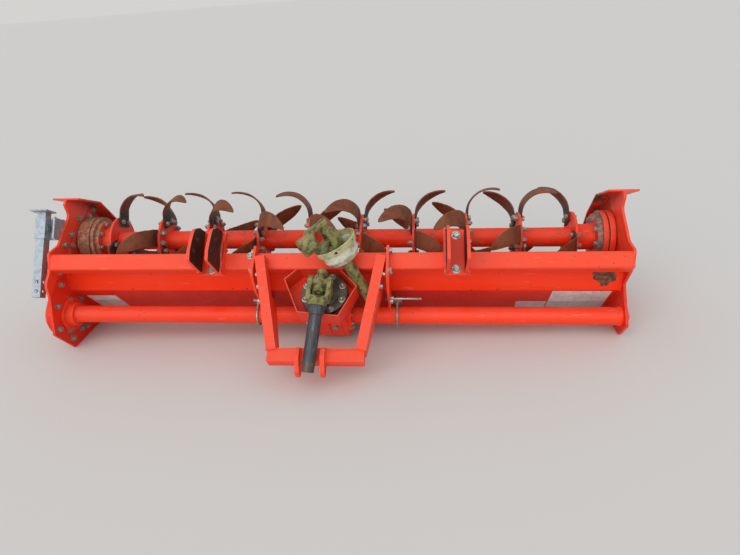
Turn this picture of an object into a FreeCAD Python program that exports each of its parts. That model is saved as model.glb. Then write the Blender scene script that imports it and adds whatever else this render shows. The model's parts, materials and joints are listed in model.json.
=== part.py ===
import FreeCAD, Part
import math
import os

# Rotary tiller for a three-point hitch, lying tipped on its back on the ground.
#
# The pieces are drawn in the machine's working frame: X along the rotor, with the gear side
# at minus X, Y forward to the tractor and Z up, with the rotor's axis through the origin.
# The last step turns the whole machine onto the rear edges of its two side plates, the way
# it lies in the yard, and stands it on Z = 0. All sizes are in millimetres.

V = FreeCAD.Vector

# Main sizes
INNER_WIDTH = 2372.0        # between the inner faces of the side plates
HALF_WIDTH = INNER_WIDTH / 2
PLATE_T = 10.0              # side plates
PLAY = 0.3                  # gap between curved faces of different pieces
REAR_LEAN_DEG = 33.6        # rear edges of the side plates, from upright, in work
LEFT_REAR_OFFSET = 383.5    # from the rotor's axis square to the left plate's rear edge
RIGHT_REAR_OFFSET = 318.0   # the same on the right plate, which carries no gears

# Front beam, a square tube set on a slant
BEAM_Y = 168.0
BEAM_Z = 226.0
BEAM_SIDE = 70.0
BEAM_WALL = 6.0
BEAM_ROLL_DEG = 16.0

# Hood: a folded sheet over the rotor
HOOD_T = 6.0
HOOD_FRONT = (122.0, 198.0)     # lower end of the front slope, outer face
HOOD_BEND = (12.0, 270.0)       # where the slope meets the deck
HOOD_REAR = (-190.0, 252.0)     # rear end of the deck

# Round tube with the drive inside it, on the left, and its plain twin on the right
TUBE_Y = -38.0
TUBE_Z = 363.0
TUBE_R = 37.0
TUBE_WALL = 6.0
TUBE_FLANGE_R = 74.0
TUBE_FLANGE_T = 12.0
TUBE_COLLAR_R = 52.0
TUBE_COLLAR_L = 26.0

# Gearbox in the middle, with its input towards the tractor
GEARBOX_X = -8.0
GEARBOX_HALF_X = 78.0
GEARBOX_FLANGE_T = 14.0
GEARBOX_FLANGE_R = 66.0
GEARBOX_FRONT_Y = 96.0
GEARBOX_REAR_Y = -112.0
GEARBOX_HALF_Z = 72.0
INPUT_Z = TUBE_Z

# Friction clutch and the folded universal joint on the input shaft
NECK_R = 44.0               # the gearbox's input neck
CLUTCH_Y = 128.0
CLUTCH_R = 94.0
CLUTCH_DISCS = ((0.0, 12.0, 0.0), (12.0, 26.0, 7.0), (26.0, 38.0, 2.0))  # start, end, less radius
CLUTCH_CORE_R = 50.0
STUD_RING_R = 78.0
STUD_R = 6.0
STUD_L = 54.0
STUD_COUNT = 8
JOINT_Y = 262.0             # centre of the universal joint's cross
YOKE_R = 47.0
YOKE_EAR_T = 20.0
YOKE_EAR_R = 20.0
YOKE_HUB_R = 38.0
YOKE_HUB_L = 28.0
YOKE_REACH = 67.0           # from the cross to the near face of a yoke's hub
PIN_PLAY = 0.05             # a pin or trunnion in its bore
CROSS_ARM_R = 13.0
HALF_SHAFT_R = 25.0
HALF_SHAFT_WALL = 5.0
HALF_SHAFT_L = 250.0
HALF_SHAFT_SWING_DEG = 6.0  # the tube lies a little towards the left lug
REST_GAP = 0.4              # between the tube and the crossbar that it lies on

# The other half of the driveline, left lying against the guard: its joint and its tube's end
LOOSE_JOINT = (20.0, 364.0, 200.0)
LOOSE_END = (168.0, 100.0, 352.0)
LOOSE_FORK_END = (-55.0, 360.0, 269.0)      # a point on the end fork's axis
LOOSE_R = 23.8
LOOSE_WALL = 4.0
LOOSE_HUB_L = 56.0
PTO_BORE_R = 17.5
BELL_START = 50.0           # plastic bell: from the joint's centre along the tube
BELL_T = 3.0
BELL_PROFILE = ((0.0, 88.0), (24.0, 84.0), (26.0, 77.0), (50.0, 72.0), (60.0, 74.0), (84.0, 58.0))   # distance, radius

# Sheet-metal guard around the clutch, open at the front: x and z of its corners
GUARD_CORNERS = ((-172.0, 312.0), (-104.0, 458.0), (58.0, 474.0), (124.0, 342.0), (44.0, 256.0), (-116.0, 256.0))
GUARD_FRONT_Y = 190.0
GUARD_REAR_Y = 104.0
GUARD_T = 4.0

# Mast
MAST_X = -24.0
MAST_BASE_Y = 222.0
MAST_BASE_Z = 262.0
MAST_BASE_HALF = 238.0
MAST_TOP_Y = 128.0
MAST_TOP_Z = 618.0
MAST_TOP_HALF = 167.0
LEG_X = 38.0
LEG_Y = 50.0
LEG_WALL = 5.0
LEG_FOOT = 30.0             # the leg goes on below its base point
CROSSBAR_Z = 54.0
CAP_T = 4.0
MAST_PLATE_T = 10.0
MAST_PLATE = ((246.0, 186.0, 10.0), (246.0, 318.0, 30.0), (150.0, 352.0, 20.0), (TUBE_Y + 30, TUBE_Z - 11, 10.0),
              (TUBE_Y - 52, TUBE_Z - 23, 10.0), (TUBE_Y - 52, 250.0, 0.0), (214.0, 250.0, 0.0), (214.0, 186.0, 6.0))
GUSSET_T = 8.0
GUSSET_LOW_SHARE = {-1: 0.32, 1: 0.15}      # where the left and right brace plate starts, as a share of the leg
GUSSET_HIGH_SHARE = 0.95    # and where both end
GUSSET_LOW_DEPTH = 110.0    # how far it goes back from the leg's middle
GUSSET_HIGH_DEPTH = 42.0
GUSSET_ROOM = 6.0           # around the loose tube
LUG_T = 16.0
LUG_GAP = 80.0
LUG_BORE_R = 12.7
LUG_BORE_BACK = 4.0         # how far the bore lies behind the crossbar's middle
LUG_BORE_UP = 50.0          # and above it
LUG_BORE_Y = MAST_TOP_Y - LUG_BORE_BACK
LUG_BORE_Z = MAST_TOP_Z + LUG_BORE_UP
LUG_FRONT = 30.0            # how far a lug stands out in front of the crossbar
LUG_EDGE = 26.0             # metal around the bore, from its centre
LUGS_X = MAST_X - 16.0

# Lower hitch brackets: a channel against the beam with a deep ear inside each of its flanges.
# Their outlines are measured out from the beam's middle and along its front face.
HITCH_X = (-470.0, 512.0)
HITCH_PIN_AT = ((149.0, -63.0), (151.0, -67.0))     # of the left and the right bracket
HITCH_SPARE_AT = (172.0, -8.0)                      # the ears' second hole
HITCH_BORE_R = 14.2
HITCH_SPARE_R = 12.0
HITCH_EAR_T = 12.0
HITCH_GAP = 60.0
HITCH_FLANGE_T = 8.0
HITCH_BASE_T = 12.0
HITCH_BASE = (-120.0, 62.0)
HITCH_FLANGE = ((52.0, -116.0, 6.0), (84.0, -52.0, 20.0), (84.0, -12.0, 30.0), (72.0, 22.0, 30.0), (82.0, 60.0, 6.0))
HITCH_EAR = ((132.0, -112.0, 30.0), (182.0, -90.0, 34.0), (198.0, -44.0, 30.0), (210.0, 4.0, 30.0),
             (207.0, 42.0, 10.0), (96.0, 58.0, 16.0))

# Rotor
ROTOR_TUBE_R = 42.0
ROTOR_TUBE_WALL = 7.0
FLANGE_COUNT = 10
FLANGE_ROOM = 162.0         # from a plate to the nearest flange
FLANGE_FIRST_X = FLANGE_ROOM - HALF_WIDTH
FLANGE_PITCH = (INNER_WIDTH - 2 * FLANGE_ROOM) / (FLANGE_COUNT - 1)
FLANGE_R = 110.0
FLANGE_T = 10.0
TINES_PER_HAND = 3
TINE_T = 8.0
SHAFT_R = 24.0              # shaft stubs that carry the rotor

# Hubs: start and end from the side plate, and radius
LEFT_HUB = ((6.0, 60.0, 110.0), (60.0, 66.0, 98.0), (66.0, 82.0, 110.0), (82.0, 98.0, 94.0), (98.0, FLANGE_ROOM, 62.0))
RIGHT_HUB = ((6.0, 28.0, 114.0), (28.0, 34.0, 98.0), (34.0, 54.0, 114.0), (54.0, 74.0, 100.0), (74.0, FLANGE_ROOM, 56.0))

# Skids along the foot of the side plates: y and z of the outer face
SKID_PATH = ((-176.0, -152.0), (-58.0, -172.0), (92.0, -160.0), (240.0, -70.0))
SKID_HALF = 60.0
SKID_T = 8.0

# Side plates: y, z and corner radius, over the skid's line and up the front, then the top;
# the rear corners are a height and a corner radius on the leaning rear edge
PLATE_HEEL = ((-210.0, -122.0, 40.0),)
PLATE_FRONT = ((236.0, -38.0, 8.0), (186.0, -16.0, 30.0), (184.0, 142.0, 20.0), (221.0, 206.0, 16.0))
LEFT_PLATE_TOP = ((180.0, 262.0, 34.0), (172.0, 330.0, 36.0), (118.0, 372.0, 60.0), (18.0, 492.0, 6.0))
LEFT_PLATE_REAR = ((482.0, 6.0), (150.0, 60.0))
LEFT_PLATE_TAIL = ((-330.0, 20.0, 60.0),)
RIGHT_PLATE_TOP = ((176.0, 246.0, 10.0), (142.0, 256.0, 8.0), (54.0, 262.0, 16.0), (20.0, 360.0, 20.0), (0.0, 426.0, 12.0))
RIGHT_PLATE_REAR = ((417.0, 26.0), (150.0, 40.0))
RIGHT_PLATE_TAIL = ((-268.0, 20.0, 60.0),)
SHAFT_ROOM = 4.0            # around a shaft stub in its plate

# Gear case outside the left plate
CASE_DEPTH = 62.0
CASE_TOP_R = 92.0
CASE_FOOT_R = 112.0

# Parking stand on the left
STAND_OUT = 66.0            # from the left plate's outer face to the stand's middle
STAND_X = -HALF_WIDTH - PLATE_T - STAND_OUT
STAND_SIDE = 38.0
STAND_WALL = 3.5
SLEEVE_SIDE = 47.0
SLEEVE_GAP = 0.5
STAND_FOOT_Y = 240.0
STAND_FOOT_Z = 8.0
STAND_LENGTH = 372.0
STAND_LEAN_DEG = 23.0
SLEEVE_START = 26.0
SLEEVE_LENGTH = 92.0
STAND_FOOT = (82.0, 66.0, 6.0)
STAND_FOOT_FORWARD = 12.0   # the plate's middle is ahead of the tube's

# Tailgate behind the rotor
GATE_HINGE_Y = -203.0
GATE_HINGE_Z = 237.0
GATE_PIN_R = 6.0
GATE_BARREL_R = 11.0
GATE_BARREL_L = 120.0
GATE_END_GAP = 5.0          # between a barrel and the knuckles beside it
KNUCKLE_L = 40.0
KNUCKLE_ROOM = 21.0         # between a side plate and the knuckle beside it
GATE_BARREL_EDGE = HALF_WIDTH - KNUCKLE_ROOM - KNUCKLE_L - GATE_END_GAP
GATE_BARREL_X = (-GATE_BARREL_EDGE, -0.320 * HALF_WIDTH, 0.219 * HALF_WIDTH, GATE_BARREL_EDGE - GATE_BARREL_L)
GATE_LIP = 22.0
GATE_LIP_L = 30.0
GATE_T = 5.0
GATE_LENGTH = 365.0
GATE_OFFSET = 299.0         # from the rotor's axis square to the gate's inner face
GATE_SIDE_GAP = 8.0


def block(x0, x1, y0, y1, z0, z1):
    """Box between two corners."""
    return Part.makeBox(x1 - x0, y1 - y0, z1 - z0, V(x0, y0, z0))


def rod(start, end, radius):
    """Solid cylinder from one point to another."""
    along = end - start
    return Part.makeCylinder(radius, along.Length, start, along)


def pipe(start, end, radius, wall):
    """Round tube from one point to another."""
    return rod(start, end, radius).cut(rod(start, end, radius - wall))


def sheet(points, x0, x1):
    """Plate square to X with the given outline of (y, z) points."""
    corners = [V(x0, y, z) for y, z in points]
    face = Part.Face(Part.makePolygon(corners + corners[:1]))
    return face.extrude(V(x1 - x0, 0, 0))


def rounded_sheet(rows, x0, x1):
    """Plate square to X; each row is (y, z, corner radius)."""
    count = len(rows)
    starts = []
    for index, (y, z, radius) in enumerate(rows):
        here = V(x0, y, z)
        before = V(x0, *rows[index - 1][:2])
        after = V(x0, *rows[(index + 1) % count][:2])
        if radius <= 0:
            starts.append((here, None, here))
            continue
        back = (before - here).normalize()
        on = (after - here).normalize()
        half = back.getAngle(on) / 2
        reach = radius / math.tan(half)
        middle = (back + on).normalize()
        centre = here + middle * (radius / math.sin(half))
        starts.append((here + back * reach, centre - middle * radius, here + on * reach))
    edges = []
    for index, (enter, middle, leave) in enumerate(starts):
        if middle is not None:
            edges.append(Part.Arc(enter, middle, leave).toShape())
        following = starts[(index + 1) % count][0]
        edges.append(Part.makeLine(leave, following))
    face = Part.Face(Part.Wire(edges))
    return face.extrude(V(x1 - x0, 0, 0))


def box_tube(length, width, depth, wall):
    """Rectangular tube along +Z from the origin: width along X, depth along Y."""
    outer = block(-width / 2, width / 2, -depth / 2, depth / 2, 0, length)
    inner = block(-width / 2 + wall, width / 2 - wall, -depth / 2 + wall, depth / 2 - wall, 0, length)
    return outer.cut(inner)


def fuse(shapes):
    """One solid of pieces that meet."""
    whole = shapes[0].fuse(shapes[1:]) if len(shapes) > 1 else shapes[0]
    return whole.removeSplitter()


def rear_edge_y(offset, z):
    """Y of a side plate's rear edge at height z."""
    lean = math.radians(REAR_LEAN_DEG)
    return (-offset + z * math.sin(lean)) / math.cos(lean)


def front_beam():
    side = BEAM_SIDE
    tube = box_tube(INNER_WIDTH, side, side, BEAM_WALL)
    long_edges = [edge for edge in tube.Edges if abs(edge.Length - INNER_WIDTH) < 1e-6
                  and edge.CenterOfMass.x ** 2 + edge.CenterOfMass.y ** 2 > side * side * 0.45]
    tube = tube.makeFillet(BEAM_WALL * 1.4, long_edges)
    tube.rotate(V(0, 0, 0), V(0, 1, 0), 90)
    tube.rotate(V(0, 0, 0), V(1, 0, 0), BEAM_ROLL_DEG)
    tube.translate(V(-HALF_WIDTH, BEAM_Y, BEAM_Z))
    return tube


def hood_shell():
    """Front slope, deck and a short fold over the tailgate's hinge, as one sheet."""
    outer = [HOOD_FRONT, HOOD_BEND, HOOD_REAR]
    inner = offset_path(outer, HOOD_T)
    return sheet(outer + inner[::-1], -HALF_WIDTH, HALF_WIDTH)


def offset_path(points, distance):
    """The path moved by a distance towards the rotor's axis."""
    normals = []
    for (y0, z0), (y1, z1) in zip(points, points[1:]):
        length = math.hypot(y1 - y0, z1 - z0)
        normals.append(((z1 - z0) / length, -(y1 - y0) / length))
    if normals[0][0] * points[0][0] + normals[0][1] * points[0][1] > 0:
        normals = [(-ny, -nz) for ny, nz in normals]
    moved = []
    for index, (y, z) in enumerate(points):
        first = normals[max(index - 1, 0)]
        second = normals[min(index, len(normals) - 1)]
        across = 1 + first[0] * second[0] + first[1] * second[1]
        shift = ((first[0] + second[0]) / across, (first[1] + second[1]) / across)
        moved.append((y + shift[0] * distance, z + shift[1] * distance))
    return moved


def side_plate(side):
    """Left (side -1) or right (side 1) plate, with the hole for the rotor's shaft."""
    if side < 0:
        offset, top, rear, tail = LEFT_REAR_OFFSET, LEFT_PLATE_TOP, LEFT_PLATE_REAR, LEFT_PLATE_TAIL
    else:
        offset, top, rear, tail = RIGHT_REAR_OFFSET, RIGHT_PLATE_TOP, RIGHT_PLATE_REAR, RIGHT_PLATE_TAIL
    runner = [(y, z, 0) for y, z in offset_path(SKID_PATH, SKID_T)]
    edge = [(rear_edge_y(offset, z), z, radius) for z, radius in rear]
    rows = list(PLATE_HEEL) + runner + list(PLATE_FRONT) + list(top) + edge + list(tail)
    inner = side * HALF_WIDTH
    outer = side * (HALF_WIDTH + PLATE_T)
    plate = rounded_sheet(rows, min(inner, outer), max(inner, outer))
    if side < 0:
        plate = plate.cut(rod(V(inner + 1, TUBE_Y, TUBE_Z), V(outer - 1, TUBE_Y, TUBE_Z), TUBE_R + PLAY))
    shaft_hole = rod(V(inner - side, 0, 0), V(outer + side, 0, 0), SHAFT_R + SHAFT_ROOM)
    return plate.cut(shaft_hole)


def gear_case():
    """Closed case outside the left plate: a tapered oval around both shafts."""
    x0 = -HALF_WIDTH - PLATE_T - CASE_DEPTH
    x1 = -HALF_WIDTH - PLATE_T
    top = V(x0, TUBE_Y, TUBE_Z)
    foot = V(x0, 0, 0)
    along = top - foot
    angle = math.acos((CASE_FOOT_R - CASE_TOP_R) / along.Length)
    base = math.atan2(along.z, along.y)
    rim = []
    for centre, radius, turn in ((foot, CASE_FOOT_R, angle), (top, CASE_TOP_R, angle),
                                 (top, CASE_TOP_R, -angle), (foot, CASE_FOOT_R, -angle)):
        rim.append(centre + V(0, math.cos(base + turn), math.sin(base + turn)) * radius)
    crown = top + along.normalize() * CASE_TOP_R
    heel = foot - along.normalize() * CASE_FOOT_R
    edges = [Part.makeLine(rim[0], rim[1]), Part.Arc(rim[1], crown, rim[2]).toShape(),
             Part.makeLine(rim[2], rim[3]), Part.Arc(rim[3], heel, rim[0]).toShape()]
    case = Part.Face(Part.Wire(edges)).extrude(V(x1 - x0, 0, 0))
    outline = [edge for edge in case.Edges if abs(edge.BoundBox.XMax - x0) < 1e-6]
    return case.makeChamfer(CASE_DEPTH * 0.28, outline)


def drive_tube():
    """Left tube from the gearbox to its bolted flange on the left plate."""
    left = -HALF_WIDTH
    right = GEARBOX_X - GEARBOX_HALF_X - GEARBOX_FLANGE_T
    centre = V(left, TUBE_Y, TUBE_Z)
    solid = fuse([rod(centre, V(right, TUBE_Y, TUBE_Z), TUBE_R),
                  rod(centre, centre + V(TUBE_FLANGE_T, 0, 0), TUBE_FLANGE_R),
                  rod(centre, centre + V(TUBE_FLANGE_T + TUBE_COLLAR_L, 0, 0), TUBE_COLLAR_R)])
    return solid.cut(rod(centre, V(right, TUBE_Y, TUBE_Z), TUBE_R - TUBE_WALL))


def cross_tube():
    """Right tube from the gearbox to a disc on the right plate."""
    left = GEARBOX_X + GEARBOX_HALF_X + GEARBOX_FLANGE_T
    centre = V(HALF_WIDTH, TUBE_Y, TUBE_Z)
    solid = fuse([rod(V(left, TUBE_Y, TUBE_Z), centre, TUBE_R),
                  rod(centre - V(TUBE_FLANGE_T, 0, 0), centre, TUBE_R + 4)])
    return solid.cut(rod(V(left, TUBE_Y, TUBE_Z), centre, TUBE_R - TUBE_WALL))


def gearbox():
    """Cast case as one plain block, with the tube flanges and the input neck."""
    x0 = GEARBOX_X - GEARBOX_HALF_X
    x1 = GEARBOX_X + GEARBOX_HALF_X
    body = block(x0, x1, GEARBOX_REAR_Y, GEARBOX_FRONT_Y, TUBE_Z - GEARBOX_HALF_Z, TUBE_Z + GEARBOX_HALF_Z)
    edges = [edge for edge in body.Edges if abs(edge.Length - (x1 - x0)) < 1e-6]
    body = body.makeFillet(GEARBOX_HALF_Z * 0.42, edges)
    axis_y = V(GEARBOX_X, GEARBOX_FRONT_Y - 4, INPUT_Z)
    neck = rod(axis_y, V(GEARBOX_X, CLUTCH_Y, INPUT_Z), NECK_R)
    flanges = [rod(V(x - GEARBOX_FLANGE_T * (x < GEARBOX_X), TUBE_Y, TUBE_Z),
                   V(x + GEARBOX_FLANGE_T * (x > GEARBOX_X), TUBE_Y, TUBE_Z), GEARBOX_FLANGE_R) for x in (x0, x1)]
    foot_z = deck_z(GEARBOX_REAR_Y)
    feet = [block(x0 - 8, x1 + 8, y, y + 26, foot_z, TUBE_Z - GEARBOX_HALF_Z + 12)
            for y in (GEARBOX_REAR_Y + 14, -60)]
    return fuse([body, neck] + flanges + feet).cut(below_deck())


def deck_z(y):
    """Height of the deck's outer face at y."""
    slope = (HOOD_BEND[1] - HOOD_REAR[1]) / (HOOD_BEND[0] - HOOD_REAR[0])
    return HOOD_REAR[1] + (y - HOOD_REAR[0]) * slope


def below_deck():
    """Everything under the deck's outer face, to trim what stands on it."""
    reach = 200.0
    points = [HOOD_REAR, HOOD_BEND, (HOOD_BEND[0], HOOD_BEND[1] - reach), (HOOD_REAR[0], HOOD_REAR[1] - reach)]
    return sheet(points, -HALF_WIDTH, HALF_WIDTH)


def guard_prism(inset, y0, y1):
    """Prism of the guard's outline, moved in by a distance."""
    corners = [V(x, y0, z) for x, z in GUARD_CORNERS]
    face = Part.Face(Part.makePolygon(corners + corners[:1]))
    if inset > 0:
        face = Part.Face(face.OuterWire.makeOffset2D(-inset, join=2))
    return face.extrude(V(0, y1 - y0, 0))


def input_guard():
    """Six-sided tube of thin sheet around the clutch, with its back plate."""
    outside = guard_prism(0, GUARD_REAR_Y - GUARD_T, GUARD_FRONT_Y)
    inside = guard_prism(GUARD_T, GUARD_REAR_Y, GUARD_FRONT_Y)
    neck = rod(V(GEARBOX_X, 0, INPUT_Z), V(GEARBOX_X, GUARD_FRONT_Y, INPUT_Z), NECK_R + PLAY)
    return outside.cut(inside).cut(neck).cut(beam_space())


def beam_space():
    """The beam's outline with a little play, to trim what passes over it."""
    side = BEAM_SIDE + 2 * PLAY
    space = block(-HALF_WIDTH, HALF_WIDTH, -side / 2, side / 2, -side / 2, side / 2)
    space.rotate(V(0, 0, 0), V(1, 0, 0), BEAM_ROLL_DEG)
    space.translate(V(0, BEAM_Y, BEAM_Z))
    return space


def clutch_end_y():
    """Where the clutch's core meets the yoke's hub."""
    return JOINT_Y - YOKE_REACH - YOKE_HUB_L


def friction_clutch():
    """Clutch discs with the studs and spring nuts around their rim."""
    back = V(GEARBOX_X, CLUTCH_Y, INPUT_Z)
    ahead = V(0, 1, 0)
    pieces = [rod(back, V(GEARBOX_X, clutch_end_y(), INPUT_Z), CLUTCH_CORE_R)]
    for start, end, less in CLUTCH_DISCS:
        pieces.append(rod(back + ahead * start, back + ahead * end, CLUTCH_R - less))
    face = CLUTCH_DISCS[-1][1]
    for index in range(STUD_COUNT):
        angle = math.radians(360.0 / STUD_COUNT * (index + 0.5))
        spot = back + V(STUD_RING_R * math.cos(angle), 0, STUD_RING_R * math.sin(angle))
        pieces.append(rod(spot, spot + ahead * STUD_L, STUD_R))
        pieces.append(rod(spot + ahead * face, spot + ahead * (face + STUD_R * 1.6), STUD_R * 2))
    return fuse(pieces)


def yoke(centre, toward, across, hub_length=YOKE_HUB_L):
    """Fork of a universal joint: ears along `across`, with the hub behind the centre."""
    side = toward.cross(across).normalize()
    hub = rod(centre - toward * (YOKE_REACH + hub_length), centre - toward * YOKE_REACH, YOKE_HUB_R)
    root = YOKE_REACH + YOKE_HUB_L * 0.4
    pieces = [hub]
    for sign in (-1, 1):
        inner = across * (sign * (YOKE_R - YOKE_EAR_T))
        ear = Part.makeCylinder(YOKE_EAR_R, YOKE_EAR_T, centre + inner, across * sign)
        outline = [centre + inner + side * width - toward * depth for width, depth in
                   ((-YOKE_EAR_R, 0), (YOKE_EAR_R, 0), (YOKE_EAR_R + 4, root), (-YOKE_EAR_R - 4, root))]
        web = Part.Face(Part.makePolygon(outline + outline[:1]))
        pieces += [ear, web.extrude(across * (sign * YOKE_EAR_T))]
    fork = fuse(pieces)
    bore = rod(centre - across * (YOKE_R + 5), centre + across * (YOKE_R + 5), CROSS_ARM_R + PIN_PLAY)
    return fork.cut(bore)


def joint_centre():
    return V(GEARBOX_X, JOINT_Y, INPUT_Z)


def half_shaft_lean():
    """Lean of the half shaft, in radians, at which its tube lies on the crossbar's front edge."""
    back = JOINT_Y - (MAST_TOP_Y + LEG_Y / 2)
    up = MAST_TOP_Z + CROSSBAR_Z / 2 - INPUT_Z
    return math.acos((HALF_SHAFT_R + REST_GAP) / math.hypot(back, up)) - math.atan2(up, back)


def half_shaft_direction():
    lean = half_shaft_lean()
    swing = math.radians(HALF_SHAFT_SWING_DEG)
    return V(-math.sin(swing), -math.sin(lean) * math.cos(swing), math.cos(lean) * math.cos(swing))


def inner_yoke():
    return yoke(joint_centre(), V(0, 1, 0), inner_fork_axis())


def joint_cross(centre, first, second):
    """Cross of a universal joint with its two pairs of trunnions."""
    arm = YOKE_R - 1
    return fuse([rod(centre - first * arm, centre + first * arm, CROSS_ARM_R),
                 rod(centre - second * arm, centre + second * arm, CROSS_ARM_R),
                 Part.makeSphere(CROSS_ARM_R * 1.6, centre)])


def swing_fork_axis():
    """The swinging fork's own trunnion axis: square to the tube and to the input shaft."""
    return V(0, 1, 0).cross(half_shaft_direction()).normalize()


def inner_fork_axis():
    """The inner fork's trunnion axis: square to the input shaft and to the other trunnions."""
    return swing_fork_axis().cross(V(0, 1, 0)).normalize()


def swing_yoke():
    along = half_shaft_direction()
    return yoke(joint_centre(), along * -1, swing_fork_axis())


def half_shaft():
    along = half_shaft_direction()
    reach = YOKE_REACH + YOKE_HUB_L
    start = joint_centre() + along * reach
    end = joint_centre() + along * (reach + HALF_SHAFT_L)
    return pipe(start, end, HALF_SHAFT_R, HALF_SHAFT_WALL)


def leg_ends(side):
    foot = V(MAST_X + side * MAST_BASE_HALF, MAST_BASE_Y, MAST_BASE_Z)
    top = V(MAST_X + side * MAST_TOP_HALF, MAST_TOP_Y, MAST_TOP_Z)
    return foot, top


def leg_bar(side, wall):
    """Bar or tube on a leg's line, from under its base to the crossbar's middle."""
    foot, top = leg_ends(side)
    along = (top - foot).normalize()
    foot = foot - along * LEG_FOOT
    top = top - along * (CROSSBAR_Z / 2)
    length = (top - foot).Length
    tube = box_tube(length, LEG_X, LEG_Y, wall) if wall else block(-LEG_X / 2, LEG_X / 2, -LEG_Y / 2, LEG_Y / 2, 0, length)
    width = (V(1, 0, 0) - along * along.x).normalize()
    depth = along.cross(width)
    matrix = FreeCAD.Matrix(width.x, depth.x, along.x, foot.x, width.y, depth.y, along.y, foot.y,
                            width.z, depth.z, along.z, foot.z, 0, 0, 0, 1)
    return tube.transformed(matrix)


def crossbar_block():
    half = MAST_TOP_HALF + LEG_X / 2
    return block(MAST_X - half, MAST_X + half, MAST_TOP_Y - LEG_Y / 2, MAST_TOP_Y + LEG_Y / 2,
                 MAST_TOP_Z - CROSSBAR_Z / 2, MAST_TOP_Z + CROSSBAR_Z / 2)


def mast_leg(side):
    """Leg of the mast: a rectangular tube that leans back and inward."""
    return leg_bar(side, LEG_WALL).cut(crossbar_block())


def mast_crossbar():
    """Rectangular tube across the legs, closed at both ends."""
    half = MAST_TOP_HALF + LEG_X / 2 - CAP_T
    bore = block(MAST_X - half, MAST_X + half, MAST_TOP_Y - LEG_Y / 2 + LEG_WALL, MAST_TOP_Y + LEG_Y / 2 - LEG_WALL,
                 MAST_TOP_Z - CROSSBAR_Z / 2 + LEG_WALL, MAST_TOP_Z + CROSSBAR_Z / 2 - LEG_WALL)
    return crossbar_block().cut(bore)


def top_link_lug(side):
    """Ear for the top link, on the crossbar's face and top."""
    face = MAST_TOP_Y + LEG_Y / 2
    low = MAST_TOP_Z - CROSSBAR_Z / 2
    high = MAST_TOP_Z + CROSSBAR_Z / 2
    front = face + LUG_FRONT
    tip = LUG_BORE_Z + LUG_EDGE
    rows = [(face, low, 0), (front - 4, low + 8, 10), (front, high - 6, 24), (LUG_BORE_Y + LUG_EDGE - 4, tip, 18),
            (LUG_BORE_Y - LUG_EDGE + 6, tip, 12), (LUG_BORE_Y - LUG_EDGE + 6, high, 0), (face, high, 0)]
    inner = LUGS_X + side * LUG_GAP / 2
    outer = inner + side * LUG_T
    lug = rounded_sheet(rows, min(inner, outer), max(inner, outer))
    return lug.cut(rod(V(inner - side, LUG_BORE_Y, LUG_BORE_Z), V(outer + side, LUG_BORE_Y, LUG_BORE_Z), LUG_BORE_R))


def leg_spread():
    """How far a leg moves outward for each millimetre down."""
    return (MAST_BASE_HALF - MAST_TOP_HALF) / (MAST_TOP_Z - MAST_BASE_Z)


def mast_plate_x(side):
    """X of a mast plate's inner and outer face: just outside the leg's foot."""
    inner = MAST_X + side * (MAST_BASE_HALF + LEG_FOOT * leg_spread() + LEG_X / 2 + PLAY)
    return inner, inner + side * MAST_PLATE_T


def mast_plate(side):
    """Bolted plate beside each leg, from over the beam back to the round tube."""
    inner, outer = mast_plate_x(side)
    plate = rounded_sheet(MAST_PLATE, min(inner, outer), max(inner, outer))
    saddle = rod(V(inner - side, TUBE_Y, TUBE_Z), V(outer + side, TUBE_Y, TUBE_Z), TUBE_R + PLAY)
    return plate.cut(saddle).cut(beam_space()).cut(below_deck()).cut(below_slope())


def below_slope():
    """Everything under the hood's front slope, to trim what passes over it."""
    points = [HOOD_FRONT, HOOD_BEND, (HOOD_BEND[0] - 60, HOOD_BEND[1] - 120), (HOOD_FRONT[0] - 60, HOOD_FRONT[1] - 120)]
    return sheet(points, -HALF_WIDTH, HALF_WIDTH)


def mast_gusset(side):
    """Stiffening plate along the back of each leg, level with the face towards the plain end."""
    foot, top = leg_ends(side)
    lean = math.atan(leg_spread())
    low = foot + (top - foot) * GUSSET_LOW_SHARE[side]
    high = foot + (top - foot) * GUSSET_HIGH_SHARE
    corners = [low, high, high - V(0, GUSSET_HIGH_DEPTH, 0), low - V(0, GUSSET_LOW_DEPTH, 0)]
    outward = V(side * math.cos(lean), 0, math.sin(lean))
    face = Part.Face(Part.makePolygon(corners + corners[:1]))
    face.translate(outward * (-LEG_X / 2 if side < 0 else LEG_X / 2 - GUSSET_T))
    room = rod(V(*LOOSE_JOINT), V(*LOOSE_END), LOOSE_R + GUSSET_ROOM)
    return face.extrude(outward * GUSSET_T).cut(leg_bar(side, 0)).cut(crossbar_block()).cut(room)


def tube_clamp(side):
    """U-bolt over the round tube beside a mast plate, with its angle bracket."""
    inner = mast_plate_x(side)[1]
    x = inner + side * 25
    reach = TUBE_R + 5.3
    pieces = []
    for sign in (-1, 1):
        pieces.append(rod(V(x, TUBE_Y + sign * reach, TUBE_Z - 66), V(x, TUBE_Y + sign * reach, TUBE_Z), 5))
        pieces.append(rod(V(x, TUBE_Y + sign * reach, TUBE_Z - 58), V(x, TUBE_Y + sign * reach, TUBE_Z - 50), 9))
    bow = Part.makeTorus(reach, 5, V(x, TUBE_Y, TUBE_Z), V(1, 0, 0))
    bow = bow.common(block(x - 20, x + 20, TUBE_Y - 80, TUBE_Y + 80, TUBE_Z, TUBE_Z + 80))
    seat = block(min(inner, inner + side * 46), max(inner, inner + side * 46), TUBE_Y - 56, TUBE_Y + 56,
                 TUBE_Z - 48, TUBE_Z - TUBE_R - PLAY)
    return fuse(pieces + [bow, seat])


def on_beam(out, along):
    """Y and Z of a point given out from the beam's middle and along its front face."""
    roll = math.radians(BEAM_ROLL_DEG)
    y = BEAM_Y + math.cos(roll) * out - math.sin(roll) * along
    z = BEAM_Z + math.sin(roll) * out + math.cos(roll) * along
    return y, z


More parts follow.
